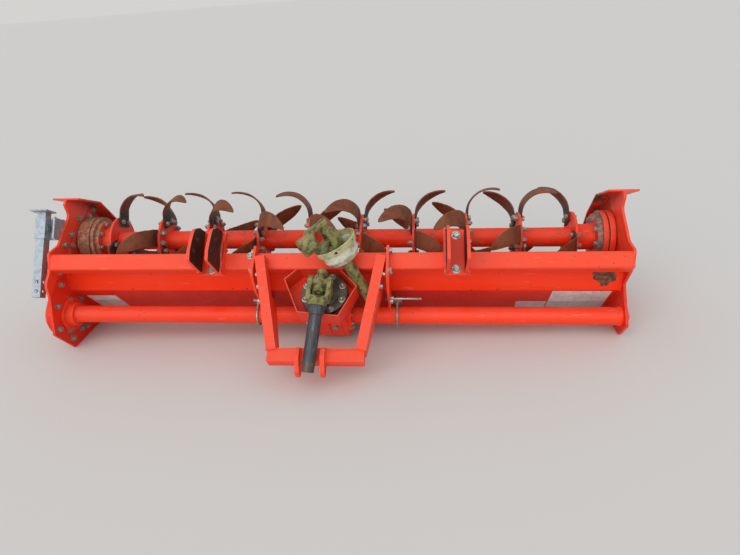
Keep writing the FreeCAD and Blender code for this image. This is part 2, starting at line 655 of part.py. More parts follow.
def hitch_bracket(side):
    """Channel bolted to the front of the beam, with two deep ears for the lower link's pin."""
    x = HITCH_X[side > 0]
    low, high = HITCH_BASE
    face = BEAM_SIDE / 2
    back = face + HITCH_BASE_T
    ear_outer = HITCH_GAP / 2 + HITCH_EAR_T
    half = ear_outer + HITCH_FLANGE_T
    base = [on_beam(face, low), on_beam(back, low), on_beam(back, high), on_beam(face, high)]
    flange = [(*on_beam(face, low), 0)] + [(*on_beam(out, along), bend) for out, along, bend in HITCH_FLANGE]
    flange.append((*on_beam(face, high), 0))
    ear = [(*on_beam(face, HITCH_EAR[0][1]), 0)] + [(*on_beam(out, along), bend) for out, along, bend in HITCH_EAR]
    ear.append((*on_beam(face, HITCH_EAR[-1][1]), 0))
    pieces = [sheet(base, x - half, x + half)]
    for sign in (-1, 1):
        for rows, inner, thick in ((ear, HITCH_GAP / 2, HITCH_EAR_T), (flange, ear_outer, HITCH_FLANGE_T)):
            ends = (x + sign * inner, x + sign * (inner + thick))
            pieces.append(rounded_sheet(rows, min(ends), max(ends)))
    bracket = fuse(pieces)
    for (out, along), radius in ((HITCH_PIN_AT[side > 0], HITCH_BORE_R), (HITCH_SPARE_AT, HITCH_SPARE_R)):
        y, z = on_beam(out, along)
        bracket = bracket.cut(rod(V(x - half, y, z), V(x + half, y, z), radius))
    return bracket


def skid(side):
    """Runner bent along the foot of a side plate."""
    inner = offset_path(SKID_PATH, SKID_T)
    centre = side * (HALF_WIDTH + PLATE_T / 2)
    return sheet(list(SKID_PATH) + inner[::-1], centre - SKID_HALF, centre + SKID_HALF)


def stand_axis():
    lean = math.radians(STAND_LEAN_DEG)
    return V(0, -math.sin(lean), math.cos(lean))


def along_stand(shape, start):
    """Shape drawn along +Z from the origin, set on the stand's line at a distance from the foot."""
    placed = shape.copy()
    placed.rotate(V(0, 0, 0), V(1, 0, 0), STAND_LEAN_DEG)
    placed.translate(V(STAND_X, STAND_FOOT_Y, STAND_FOOT_Z) + stand_axis() * start)
    return placed


def stand_leg():
    tube = box_tube(STAND_LENGTH, STAND_SIDE, STAND_SIDE, STAND_WALL)
    for height in (STAND_LENGTH - 28, STAND_LENGTH - 68):
        tube = tube.cut(rod(V(-60, 0, height), V(60, 0, height), 7))
        tube = tube.cut(rod(V(0, -60, height), V(0, 60, height), 7))
    width, depth, thick = STAND_FOOT
    ahead = STAND_FOOT_FORWARD
    foot = block(-width / 2, width / 2, ahead - depth / 2, ahead + depth / 2, -thick, 0)
    return along_stand(fuse([tube, foot]), 0)


def stand_sleeve():
    """Sleeve with the bracket that bolts it to the left side plate."""
    size = SLEEVE_SIDE
    wall = (SLEEVE_SIDE - STAND_SIDE) / 2 - SLEEVE_GAP
    tube = box_tube(SLEEVE_LENGTH, size, size, wall)
    plate_face = -HALF_WIDTH - PLATE_T - STAND_X
    arm = block(size / 2 - 2, plate_face, -size / 2, -size / 2 + 8, 0, SLEEVE_LENGTH)
    pad = block(plate_face - 8, plate_face, -size / 2 - 40, size / 2, 0, SLEEVE_LENGTH)
    return along_stand(fuse([tube, arm, pad]), SLEEVE_START)


def rotor_tube():
    """Tube with all blade flanges and the two hubs."""
    last = FLANGE_FIRST_X + FLANGE_PITCH * (FLANGE_COUNT - 1)
    pieces = [rod(V(FLANGE_FIRST_X, 0, 0), V(last, 0, 0), ROTOR_TUBE_R)]
    for index in range(FLANGE_COUNT):
        x = FLANGE_FIRST_X + FLANGE_PITCH * index
        pieces.append(rod(V(x - FLANGE_T / 2, 0, 0), V(x + FLANGE_T / 2, 0, 0), FLANGE_R))
    for side, hub in ((-1, LEFT_HUB), (1, RIGHT_HUB)):
        for start, end, radius in hub:
            pieces.append(rod(V(side * (HALF_WIDTH - start), 0, 0), V(side * (HALF_WIDTH - end), 0, 0), radius))
        outer = HALF_WIDTH - hub[0][0]
        pieces.append(rod(V(side * (HALF_WIDTH + PLATE_T - 1), 0, 0), V(side * outer, 0, 0), SHAFT_R))
    bore = rod(V(FLANGE_FIRST_X + FLANGE_T, 0, 0), V(last - FLANGE_T, 0, 0), ROTOR_TUBE_R - ROTOR_TUBE_WALL)
    return fuse(pieces).cut(bore)


# One blade, from root to tip: radius, offset along X, trailing angle in degrees, half width,
# and the turn of its thickness from along X (0) to radial (90)
BLADE_SECTIONS = (
    (64.0, 0.0, 0.0, 37.0, 0.0),
    (116.0, 0.0, 1.0, 38.0, 4.0),
    (150.0, 7.0, 3.0, 39.0, 26.0),
    (180.0, 27.0, 5.0, 39.0, 48.0),
    (202.0, 56.0, 8.0, 37.0, 68.0),
    (212.0, 88.0, 12.0, 31.0, 82.0),
    (214.0, 116.0, 17.0, 20.0, 92.0),
    (212.0, 134.0, 21.0, 6.0, 98.0),
)

# Angle of the first left-hand and right-hand blade on each flange; the outer sides of the
# end flanges carry none
BLADE_ANGLES = ((None, 60.0), (27.0, 80.0), (42.0, 97.0), (47.0, 120.0), (70.0, 125.0),
                (100.0, 155.0), (112.0, 152.0), (122.0, 178.0), (145.0, 193.0), (163.0, None))


def blade(x, hand, angle):
    """Curved blade on a flange; hand -1 or 1 is the way it turns along X."""
    wires = []
    face = FLANGE_T / 2 + TINE_T / 2
    for radius, out, trail, half_width, turn in BLADE_SECTIONS:
        direction = math.radians(angle + trail)
        radial = V(0, math.cos(direction), math.sin(direction))
        tangent = V(0, -math.sin(direction), math.cos(direction))
        tilt = math.radians(turn)
        thick = (V(hand, 0, 0) * math.cos(tilt) - radial * math.sin(tilt)) * (TINE_T / 2)
        centre = V(x + hand * (face + out), 0, 0) + radial * radius
        wide = tangent * half_width
        corners = [centre + wide + thick, centre + wide - thick, centre - wide - thick, centre - wide + thick]
        wires.append(Part.makePolygon(corners + corners[:1]))
    return Part.makeLoft(wires, True, True)


def blades(hand):
    """All blades of one hand, each bolted to its flange."""
    made = []
    for index, angles in enumerate(BLADE_ANGLES):
        first = angles[0] if hand < 0 else angles[1]
        if first is not None:
            x = FLANGE_FIRST_X + FLANGE_PITCH * index
            made += [blade(x, hand, first + 360.0 / TINES_PER_HAND * turn) for turn in range(TINES_PER_HAND)]
    return Part.makeCompound(made)


def gate_direction():
    lean = math.radians(REAR_LEAN_DEG)
    return V(0, -math.sin(lean), -math.cos(lean))


def gate_outward():
    lean = math.radians(REAR_LEAN_DEG)
    return V(0, -math.cos(lean), math.sin(lean))


def gate_hinge():
    return V(0, GATE_HINGE_Y, GATE_HINGE_Z)


def gate_strip(start, x0, x1, length, thick):
    """Flat piece of the tailgate from a start line down its slope."""
    down = gate_direction() * length
    out = gate_outward() * thick
    corner = V(x0, start.y, start.z)
    corners = [corner, corner + down, corner + down + out, corner + out]
    return Part.Face(Part.makePolygon(corners + corners[:1])).extrude(V(x1 - x0, 0, 0))


def tailgate():
    """Levelling flap behind the rotor: a sheet with a stiff lip and its hinge barrels."""
    down = gate_direction()
    out = gate_outward()
    half = HALF_WIDTH - GATE_SIDE_GAP
    hinge = gate_hinge()
    line = hinge - out * (hinge.dot(out) - GATE_OFFSET)
    top = line + down * (GATE_BARREL_R + GATE_END_GAP)
    lip = top + down * (GATE_LENGTH - GATE_LIP_L) - out * GATE_LIP
    pieces = [gate_strip(top, -half, half, GATE_LENGTH, GATE_T), gate_strip(lip, -half, half, GATE_LIP_L, GATE_LIP)]
    for x in GATE_BARREL_X:
        pieces.append(gate_strip(line, x, x + GATE_BARREL_L, GATE_BARREL_R + GATE_END_GAP + 1, GATE_T))
        pieces.append(rod(hinge + V(x, 0, 0), hinge + V(x + GATE_BARREL_L, 0, 0), GATE_BARREL_R))
    pin = rod(hinge - V(HALF_WIDTH, 0, 0), hinge + V(HALF_WIDTH, 0, 0), GATE_PIN_R + PIN_PLAY)
    return fuse(pieces).cut(pin)


def hinge_rod():
    """Long pin of the tailgate's hinge with the knuckles that hang it from the deck."""
    hinge = gate_hinge()
    pieces = [rod(hinge + V(-HALF_WIDTH + 20, 0, 0), hinge + V(HALF_WIDTH - 20, 0, 0), GATE_PIN_R)]
    for x in GATE_BARREL_X:
        for start in (x - KNUCKLE_L - GATE_END_GAP, x + GATE_BARREL_L + GATE_END_GAP):
            pieces.append(rod(hinge + V(start, 0, 0), hinge + V(start + KNUCKLE_L, 0, 0), GATE_BARREL_R))
            pieces.append(block(start, start + KNUCKLE_L, GATE_HINGE_Y, HOOD_REAR[0] + 40, GATE_HINGE_Z, HOOD_REAR[1]))
    return fuse(pieces).cut(rear_hood_space())


def rear_hood_space():
    points = [HOOD_BEND, HOOD_REAR] + offset_path([HOOD_FRONT, HOOD_BEND, HOOD_REAR], HOOD_T)[:0:-1]
    return sheet(points + [], -HALF_WIDTH, HALF_WIDTH)


def loose_axes():
    """Directions of the loose half: along its tube, along its end fork, and square to both."""
    along = (V(*LOOSE_END) - V(*LOOSE_JOINT)).normalize()
    toward_end = V(*LOOSE_FORK_END) - V(*LOOSE_JOINT)
    square = along.cross(toward_end).normalize()
    return along, square.cross(along).normalize(), square


def loose_tube():
    along = loose_axes()[0]
    return pipe(V(*LOOSE_JOINT) + along * (YOKE_REACH + YOKE_HUB_L), V(*LOOSE_END), LOOSE_R, LOOSE_WALL)


def loose_fork():
    """Fork on the loose tube's end."""
    along, _, square = loose_axes()
    return yoke(V(*LOOSE_JOINT), along * -1, square)


def loose_cross():
    along, _, square = loose_axes()
    return joint_cross(V(*LOOSE_JOINT), along, square)


def loose_end_fork():
    """Fork that slides on the tractor's shaft, with its bore."""
    along, out, _ = loose_axes()
    joint = V(*LOOSE_JOINT)
    fork = yoke(joint, out * -1, along, LOOSE_HUB_L)
    return fork.cut(rod(joint + out * (YOKE_REACH - 1), joint + out * (YOKE_REACH + LOOSE_HUB_L + 1), PTO_BORE_R))


def guard_bell():
    """Plastic guard bell over the loose half's fork, with a floor that closes on the tube."""
    along = loose_axes()[0]
    start = V(*LOOSE_JOINT) + along * BELL_START
    floor = BELL_PROFILE[-1][0]
    outer = [(radius, distance) for distance, radius in BELL_PROFILE]
    inner = [(radius - BELL_T, min(distance, floor - BELL_T)) for radius, distance in outer]
    hole = LOOSE_R + PLAY
    rows = outer + [(hole, floor), (hole, floor - BELL_T)] + inner[::-1]
    wall = Part.Face(Part.makePolygon([V(radius, 0, distance) for radius, distance in rows + rows[:1]]))
    bell = wall.revolve(V(0, 0, 0), V(0, 0, 1), 360)
    bell.Placement = FreeCAD.Placement(start, FreeCAD.Rotation(V(0, 0, 1), along))
    return bell


def all_pieces():
    """Every node's name and shape in the machine's working frame."""
    pieces = {
        "front_beam": front_beam(),
        "hood_shell": hood_shell(),
        "side_plate_left": side_plate(-1),
        "side_plate_right": side_plate(1),
        "gear_case": gear_case(),
        "skid_left": skid(-1),
        "skid_right": skid(1),
        "drive_tube": drive_tube(),
        "cross_tube": cross_tube(),
        "gearbox": gearbox(),
        "input_guard": input_guard(),
        "friction_clutch": friction_clutch(),
        "inner_yoke": inner_yoke(),
        "joint_cross": joint_cross(joint_centre(), inner_fork_axis(), swing_fork_axis()),
        "swing_yoke": swing_yoke(),
        "half_shaft": half_shaft(),
        "mast_crossbar": mast_crossbar(),
        "hitch_bracket_left": hitch_bracket(-1),
        "hitch_bracket_right": hitch_bracket(1),
        "stand_leg": stand_leg(),
        "stand_sleeve": stand_sleeve(),
        "rotor_tube": rotor_tube(),
        "blades_left_hand": blades(-1),
        "blades_right_hand": blades(1),
        "tailgate": tailgate(),
        "hinge_rod": hinge_rod(),
        "loose_tube": loose_tube(),
        "loose_fork": loose_fork(),
        "loose_cross": loose_cross(),
        "loose_end_fork": loose_end_fork(),
        "guard_bell": guard_bell(),
    }
    for side, name in ((-1, "left"), (1, "right")):
        pieces["mast_leg_" + name] = mast_leg(side)
        pieces["mast_plate_" + name] = mast_plate(side)
        pieces["mast_gusset_" + name] = mast_gusset(side)
        pieces["top_link_lug_" + name] = top_link_lug(side)
        pieces["tube_clamp_" + name] = tube_clamp(side)
    return pieces


def resting_matrix():
    """Turn from the working frame to the way the machine lies: back over, then level."""
    tilt = 90.0 + REAR_LEAN_DEG
    span = INNER_WIDTH + PLATE_T
    lean = math.degrees(math.atan2(LEFT_REAR_OFFSET - RIGHT_REAR_OFFSET, span))
    matrix = FreeCAD.Matrix()
    matrix.rotateX(math.radians(tilt))
    matrix.rotateY(math.radians(lean))
    return matrix


def ground_shift(turned):
    """Move that brings the middle of the machine's footprint to the origin."""
    bounds = FreeCAD.BoundBox()
    for shape in turned.values():
        bounds.add(shape.optimalBoundingBox(False))
    return V(-bounds.Center.x, -bounds.Center.y, -bounds.ZMin)


def main():
    os.makedirs("parts", exist_ok=True)
    turned = {name: shape.transformed(resting_matrix()) for name, shape in all_pieces().items()}
    shift = ground_shift(turned)
    for name, shape in turned.items():
        shape.translate(shift)
        shape.exportStep("parts/" + name + ".step")
        solids = len(shape.Solids)
        print(f"{name}: {solids} solid(s), {shape.Volume / 1e6:.2f} litres, valid {shape.isValid()}")
    print("moved by", shift)


main()
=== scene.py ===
"""Looks of a rotary tiller that lies tipped on its back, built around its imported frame."""

import json
import math
import random

import bmesh
import bpy
from mathutils import Matrix, Vector


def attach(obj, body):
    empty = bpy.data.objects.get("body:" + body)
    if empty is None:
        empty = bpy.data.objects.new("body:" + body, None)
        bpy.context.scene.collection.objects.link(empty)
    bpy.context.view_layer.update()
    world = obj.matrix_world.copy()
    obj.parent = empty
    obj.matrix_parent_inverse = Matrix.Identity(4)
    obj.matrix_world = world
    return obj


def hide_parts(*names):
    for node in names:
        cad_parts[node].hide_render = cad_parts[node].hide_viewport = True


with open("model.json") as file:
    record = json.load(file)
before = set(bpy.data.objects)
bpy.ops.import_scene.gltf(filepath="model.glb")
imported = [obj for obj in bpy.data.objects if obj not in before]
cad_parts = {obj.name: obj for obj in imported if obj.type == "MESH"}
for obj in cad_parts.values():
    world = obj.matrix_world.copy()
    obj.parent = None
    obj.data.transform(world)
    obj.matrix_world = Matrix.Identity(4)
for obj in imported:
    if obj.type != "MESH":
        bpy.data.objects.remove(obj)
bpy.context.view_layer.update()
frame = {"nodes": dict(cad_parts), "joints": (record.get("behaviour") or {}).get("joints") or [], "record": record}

bl_info = {
    "name": "Rotary Tiller Looks",
    "version": (1, 0, 0),
    "blender": (4, 5, 0),
    "location": "3D View > Sidebar > Tiller",
    "description": "Finishes, fasteners, blades and driveline castings of a tractor-mounted rotary tiller",
    "category": "Object",
}

# The machine's own working frame is used for every place below, in millimetres: X along the
# rotor with the gear side at minus X, Y forward to the tractor, Z up, the rotor's axis at the
# origin. MACHINE turns and moves it to where the machine lies.
TILT = math.radians(123.6)
LEAN = math.atan2(383.5 - 318.0, 2382.0)
AXIS = Vector(next(j["pos_m"] for j in frame["joints"] if j["name"] == "rotor_spin"))
TURN = Matrix.Rotation(LEAN, 4, "Y") @ Matrix.Rotation(TILT, 4, "X")
MACHINE = Matrix.Translation(AXIS) @ TURN @ Matrix.Scale(0.001, 4)
BACK = TURN.inverted().to_euler("XYZ")

HALF_WIDTH = 1186.0                                 # to the inner faces of the side plates
PLATE_T = 10.0
BEAM = (168.0, 226.0, 35.0, math.radians(16.0))     # y, z, half side and roll
BEAM_OUT = Vector((0.0, math.cos(BEAM[3]), math.sin(BEAM[3])))      # out of its front face
BEAM_UP = Vector((0.0, -BEAM_OUT.z, BEAM_OUT.y))    # up along that face
TUBE = (-38.0, 363.0, 37.0)                         # y, z and radius of the round tube
HOOD = ((122.0, 198.0), (12.0, 270.0), (-190.0, 252.0))     # y and z along the sheet's outer face
FLANGE_X = [-1024.0 + 2048.0 / 9 * i for i in range(10)]
FLANGE_HALF = 5.0
MAST_X = -24.0
LEG_FOOT = (238.0, 222.0, 262.0)                    # off the mast's middle, y and z
LEG_TOP = (167.0, 128.0, 618.0)
LEG_ENDS = {side: [Vector((MAST_X + side * off, y, z)) for off, y, z in (LEG_FOOT, LEG_TOP)]
            for side in (-1, 1)}
LEG_HALF = (19.0, 25.0)
CROSSBAR_HALF = 27.0
MAST_PLATE_X = {-1: -297.3, 1: 249.3}               # outer faces
HITCH_X = (-470.0, 512.0)
CASE = ((0.0, 0.0, 112.0), (-38.0, 363.0, 92.0))    # y, z and radius of the gear case's two ends
CASE_X = (-1258.0, -1196.0)

# Driveline: the joint's centre, its tube's direction, and the loose half that lies beside it
INPUT = Vector((-8.0, 128.0, 363.0))
JOINT = Vector((-8.0, 262.0, 363.0))
AHEAD = Vector((0.0, 1.0, 0.0))
SHAFT = Vector((-0.10453, -0.27942, 0.95446)).normalized()
SWING_FORK = AHEAD.cross(SHAFT).normalized()
INNER_FORK = SWING_FORK.cross(AHEAD).normalized()
LOOSE_JOINT = Vector((20.0, 364.0, 200.0))
LOOSE_END = Vector((168.0, 100.0, 352.0))
LOOSE = (LOOSE_END - LOOSE_JOINT).normalized()
LOOSE_SIDE = LOOSE.cross(Vector((-55.0, 360.0, 269.0)) - LOOSE_JOINT).normalized()
LOOSE_OUT = LOOSE_SIDE.cross(LOOSE).normalized()
YOKE_REACH = 67.0
YOKE_HUB = 28.0
SOCKET_HUB = 56.0
TRUNNION_R = 13.0
BELL = LOOSE_JOINT + LOOSE * 50.0

NODE_SLOT = {row["node"]: row["material_slot"] for row in frame["record"]["subparts"]}


# Colours and sizes

def linear(code):
    """Linear colour of an sRGB hex value."""
    parts = [int(code[i:i + 2], 16) / 255 for i in (1, 3, 5)]
    return tuple(c / 12.92 if c <= 0.04045 else ((c + 0.055) / 1.055) ** 2.4 for c in parts)


def rgba(colour):
    """A colour with full opacity, from a hex value or three linear numbers."""
    return (*(linear(colour) if isinstance(colour, str) else colour)[:3], 1.0)


def per_mm(size):
    """Noise scale at which one patch is about this many millimetres across."""
    return 1000.0 / size


def tint(name, description, code):
    """Colour that a user may change, with its first value as sRGB hex."""
    return bpy.props.FloatVectorProperty(name=name, description=description, default=linear(code),
                                         subtype="COLOR", size=3, min=0, max=1)


def length(name, description, default, low, high):
    """Length in metres that a user may change."""
    return bpy.props.FloatProperty(name=name, description=description, subtype="DISTANCE", unit="LENGTH",
                                   min=low, max=high, default=default)


class TillerColours(bpy.types.PropertyGroup):
    """Colours that the finishes start from."""

    enamel: tint("Enamel", "Fresh orange-red enamel, as on the hood's front slope", "#FA3608")
    # painted light: a paler copy of the enamel for the beam, mast and tube
    painted_light_enamel: tint("Sun-bleached enamel", "The enamel on beam and mast, faded by the weather", "#F84A2D")
    # painted shade: a darker copy of the enamel for the deck and side plates
    painted_shade_enamel: tint("Shaded enamel", "The enamel of the deck and side plates, unfaded and stained", "#DC1E06")
    dust: tint("Dust", "Dry dust on faces that look up", "#DB7C66")
    soil: tint("Soil", "Dried soil and grime", "#5B4334")
    rust: tint("Rust", "Brown rust on bare steel", "#7A3E1C")
    olive: tint("Olive paint", "Olive paint of the driveline's castings", "#7A7A48")
    cream: tint("Cream plastic", "Moulded guard bell", "#D2CB9C")
    floor: tint("Floor", "Plain pale studio floor", "#D8D6D2")


class TillerSizes(bpy.types.PropertyGroup):
    """Sizes of the small hardware."""

    frame_bolt: length("Frame bolt", "Width across flats of the bolts through the plates", 0.019, 0.01, 0.05)
    case_bolt: length("Case bolt", "Width across flats of the gear case and flange bolts", 0.017, 0.01, 0.05)
    blade_bolt: length("Blade bolt", "Width across flats of the blade bolts", 0.019, 0.01, 0.05)
    weld_bead: length("Weld bead", "Half width of a weld bead", 0.0034, 0.001, 0.01)
    edge_round: length("Edge rounding", "Rounding of the sheet and plate edges", 0.0012, 0.0, 0.005)


def colours():
    """The tiller's colours, as the panel shows them."""
    return bpy.context.scene.tiller_colours


def sizes():
    """The hardware's sizes, as the panel shows them."""
    return bpy.context.scene.tiller_sizes


# Node trees

def add(tree, kind, inputs=(), **settings):
    """Add a node, set its properties and give its inputs values or links."""
    made = tree.nodes.new(kind)
    for name, value in settings.items():
        setattr(made, name, value)
    for key, value in dict(inputs).items():
        if isinstance(value, bpy.types.NodeSocket):
            tree.links.new(value, made.inputs[key])
        else:
            made.inputs[key].default_value = value
    return made


class Finish:
    """A new material with what its pattern is worked out from."""

    def __init__(self, name):
        self.material = bpy.data.materials.new(name)
        self.material.use_nodes = True
        self.tree = tree = self.material.node_tree
        self.shader = tree.nodes["Principled BSDF"]
        coordinates = add(tree, "ShaderNodeTexCoord").outputs
        shifted = add(tree, "ShaderNodeVectorMath", {0: coordinates["Object"], 1: AXIS}, operation="SUBTRACT")
        # the point in the machine's frame, in metres, and its three parts
        self.place = add(tree, "ShaderNodeMapping", {"Vector": shifted.outputs[0],
                                                     "Rotation": BACK}).outputs[0]
        self.x, self.y, self.z = add(tree, "ShaderNodeSeparateXYZ", {0: self.place}).outputs
        # how far the surface looks up, and along the rotor
        faces = add(tree, "ShaderNodeSeparateXYZ", {0: coordinates["Normal"]}).outputs
        self.up, self.sideways = faces["Z"], faces["X"]

    # Places on the machine

    def along(self, start, direction):
        """Distance of the point along a line in the machine's frame, in metres; start is in mm."""
        shifted = add(self.tree, "ShaderNodeVectorMath", {0: self.place, 1: Vector(start) / 1000},
                      operation="SUBTRACT").outputs[0]
        return add(self.tree, "ShaderNodeVectorMath", {0: shifted, 1: Vector(direction).normalized()},
                   operation="DOT_PRODUCT").outputs["Value"]

    def distance(self, first, second, spot):
        """Distance in metres from a spot that is given in mm along two directions."""
        there = add(self.tree, "ShaderNodeCombineXYZ", {0: first, 1: second}).outputs[0]
        return add(self.tree, "ShaderNodeVectorMath", {0: there, 1: (spot[0] / 1000, spot[1] / 1000, 0.0)},
                   operation="DISTANCE").outputs["Value"]

    def from_middle(self):
        """Distance from the machine's middle towards either end, in metres."""
        return add(self.tree, "ShaderNodeMath", {0: self.x}, operation="ABSOLUTE").outputs[0]

    def facing_ends(self):
        """1 where the surface faces an end of the rotor, 0 where it lies along it."""
        return add(self.tree, "ShaderNodeMath", {0: self.sideways}, operation="ABSOLUTE").outputs[0]

    # Masks

    def patches(self, size, low, high, detail=4.0, roughness=0.6, stretch=None):
        """Mask of soft patches about `size` mm across; low and high set how much they cover."""
        place = self.place
        if stretch:
            place = add(self.tree, "ShaderNodeMapping", {"Vector": place, "Scale": stretch}).outputs[0]
        cloud = add(self.tree, "ShaderNodeTexNoise", {"Vector": place, "Scale": per_mm(size),
                                                      "Detail": detail, "Roughness": roughness})
        return add(self.tree, "ShaderNodeMapRange", {"Value": cloud.outputs[0], "From Min": low,
                                                     "From Max": high}).outputs[0]

    def chips(self, size, share, cell=11.0):
        """Mask of round chips about `size` mm across; share is how many cells hold one."""
        cells = add(self.tree, "ShaderNodeTexVoronoi", {"Vector": self.place, "Scale": per_mm(cell)}).outputs
        edge = size / cell / 2
        shape = add(self.tree, "ShaderNodeMapRange", {"Value": cells["Distance"], "From Min": edge * 1.15,
                                                      "From Max": edge * 0.9}).outputs[0]
        pick = add(self.tree, "ShaderNodeSeparateColor", {0: cells["Color"]}).outputs[0]
        return self.overlap(shape, self.where((pick, 1.0 - share, 1.01 - share)))

    def edges(self, radius):
        """1 along sharp edges, from how far a rounded normal leaves the real one."""
        rounded = add(self.tree, "ShaderNodeBevel", {"Radius": radius}, samples=4)
        real = add(self.tree, "ShaderNodeNewGeometry")
        agree = add(self.tree, "ShaderNodeVectorMath", {0: rounded.outputs[0], 1: real.outputs["Normal"]},
                    operation="DOT_PRODUCT").outputs["Value"]
        return add(self.tree, "ShaderNodeMapRange", {"Value": agree, "From Min": 0.995,
                                                     "From Max": 0.88}).outputs[0]

    def where(self, *limits):
        """1 where every value is past its end, 0 before its start; rows are a value, a start and an end."""
        steps = [add(self.tree, "ShaderNodeMapRange", {"Value": value, "From Min": start, "From Max": end},
                     interpolation_type="SMOOTHSTEP").outputs[0] for value, start, end in limits]
        return self.overlap(*steps)

    def between(self, value, low, high, soft):
        """1 inside a range and 0 outside it, with soft ends."""
        return self.where((value, low - soft, low + soft), (value, high + soft, high - soft))

    def overlap(self, *masks):
        """Mask that covers what all of these do; a number among them thins it."""
        whole = masks[0]
        for mask in masks[1:]:
            whole = add(self.tree, "ShaderNodeMath", {0: whole, 1: mask}, operation="MULTIPLY").outputs[0]
        return whole

    def either(self, *masks):
        """Mask that covers what any of these does."""
        whole = masks[0]
        for mask in masks[1:]:
            whole = add(self.tree, "ShaderNodeMath", {0: whole, 1: mask}, operation="MAXIMUM").outputs[0]
        return whole

    # What the masks are used for

    def coats(self, colour, *layers):
        """A colour with more laid over it in turn; rows are a mask and the colour that it lays on."""
        for mask, top in layers:
            under, over = (c if isinstance(c, bpy.types.NodeSocket) else rgba(c) for c in (colour, top))
            colour = add(self.tree, "ShaderNodeMix", {0: mask, 6: under, 7: over},
                         data_type="RGBA").outputs[2]
        return colour

    def raised(self, level, *layers):
        """A number raised in places; rows are a mask and how much it adds."""
        for mask, amount in layers:
            level = add(self.tree, "ShaderNodeMath", {0: mask, 1: amount, 2: level},
                        operation="MULTIPLY_ADD").outputs[0]
        return level

    def wired(self, colour, roughness, height, depth, metallic=0.0, ior=None):
        """The material, with a colour, a roughness and a bump of the given depth in metres on its shader."""
        bump = add(self.tree, "ShaderNodeBump", {"Height": height, "Distance": depth, "Strength": 0.6})
        self.tree.links.new(colour, self.shader.inputs["Base Color"])
        if isinstance(roughness, bpy.types.NodeSocket):
            self.tree.links.new(roughness, self.shader.inputs["Roughness"])
        else:
            self.shader.inputs["Roughness"].default_value = roughness
        self.tree.links.new(bump.outputs[0], self.shader.inputs["Normal"])
        self.shader.inputs["Metallic"].default_value = metallic
        if ior:
            self.shader.inputs["IOR"].default_value = ior
        return self.material


# Finishes

def weathered_paint(name, ground, faded, dust=0.32, soil=0.35, wear=0.55, chipped=0.6, gloss=0.36,
                    extra=None):
    """Sprayed paint with fading, dust on its upper faces, grime, pale streaks and edges that are partly wear and
    partly painted highlights, and chips.
    """
    f = Finish(name)
    hue = colours()
    # dust on upper faces, thicker in soft clouds about a hand wide
    dusty = f.overlap(f.where((f.up, 0.35, 0.98)), f.patches(110, 0.32, 0.68, 5.0), dust)
    # grime in small spots and short runs
    grime = f.overlap(f.patches(24, 0.62, 0.76, 6.0, 0.7), f.patches(190, 0.46, 0.66, 2.0), soil)
    # pale streaks a few mm wide and ten times as long: partly scuffs, partly painted highlight streaks
    scuffs = f.overlap(f.patches(9, 0.66, 0.74, 2.0, 0.5, (0.12, 1.0, 1.0)), 0.35 * wear)
    # rubbed edges show primer and steel, and the pale edges also serve as painted edge highlights
    rubbed = f.overlap(f.edges(0.003), f.patches(22, 0.40, 0.62, 5.0), wear)
    # chips about 5 mm wide, in loose groups
    chip = f.overlap(f.chips(5.0, 0.12), f.patches(160, 0.50, 0.58, 2.0), chipped)
    colour = f.coats(ground(f) if callable(ground) else ground,
                     (f.overlap(f.patches(420, 0.42, 0.66, 3.0), 0.40), faded),
                     (f.overlap(f.patches(60, 0.38, 0.75, 5.0), 0.16), faded),
                     (dusty, hue.dust), (grime, hue.soil), (scuffs, "#F3B09C"), (rubbed, "#D8AC9C"),
                     (chip, "#43261C"))
    rough = f.raised(gloss, (dusty, 0.5), (grime, 0.4))
    if extra:
        colour, rough = extra(f, colour, rough)
    # orange peel about 3 mm across, with the chips cut into it
    peel = add(f.tree, "ShaderNodeTexNoise", {"Vector": f.place, "Scale": per_mm(3), "Detail": 2.0})
    height = add(f.tree, "ShaderNodeMath", {0: f.overlap(peel.outputs[0], 0.25), 1: chip},
                 operation="SUBTRACT").outputs[0]
    f.shader.inputs["Specular IOR Level"].default_value = 0.24
    return f.wired(colour, rough, height, 0.0004, ior=1.5)


# Round places on the hood's slope whose joined outline is the flaked patch: x, y and radius
FLAKED = ((1094.0, 79.0, 30.0), (1130.0, 82.0, 27.0), (1117.0, 52.0, 24.0), (1143.0, 62.0, 19.0))
# Bores through the hitch ears: out from the beam's middle, along its front face, and radius
HITCH_BORES = ((150.0, -65.0, 14.2), (172.0, -8.0, 12.0))
EAR_REACH = 53.0                # from a hitch bracket's middle to past its ears


def flaked_patch(f):
    """Mask of the patch near the slope's right end where the enamel has come off."""
    field = None
    for x, y, radius in FLAKED:
        far = add(f.tree, "ShaderNodeMath", {0: f.distance(f.x, f.y, (x, y)), 1: radius / 1000},
                  operation="SUBTRACT").outputs[0]
        if field:
            far = add(f.tree, "ShaderNodeMath", {0: field, 1: far}, operation="MINIMUM").outputs[0]
        field = far
    # its outline wanders by up to 8 mm each way
    ragged = f.raised(field, (f.patches(14, 0.2, 0.8, 4.0), 0.016))
    return f.where((ragged, 0.0095, 0.0065), (f.y, 0.108, 0.104), (f.z, 0.280, 0.276), (f.sideways, 0.5, 0.3),
                   (f.y, 0.012, 0.018))


def rubbed_ears(f):
    """Mask of the hitch ears' faces and bores, which the links have rubbed bare."""
    middle = (0, *BEAM[:2])
    out, rise = f.along(middle, BEAM_OUT), f.along(middle, BEAM_UP)
    near = [f.between(f.x, (x - EAR_REACH) / 1000, (x + EAR_REACH) / 1000, 0.001) for x in HITCH_X]
    flat = [f.where((f.facing_ends(), 0.6, 0.8))]
    flat += [f.where((f.distance(out, rise, spot), (radius + 5) / 1000, (radius + 4) / 1000))
             for *spot, radius in HITCH_BORES]
    return f.overlap(f.either(*near), f.where((out, 0.066, 0.082)), f.either(*flat),
                     f.patches(46, 0.24, 0.36, 5.0, 0.7))


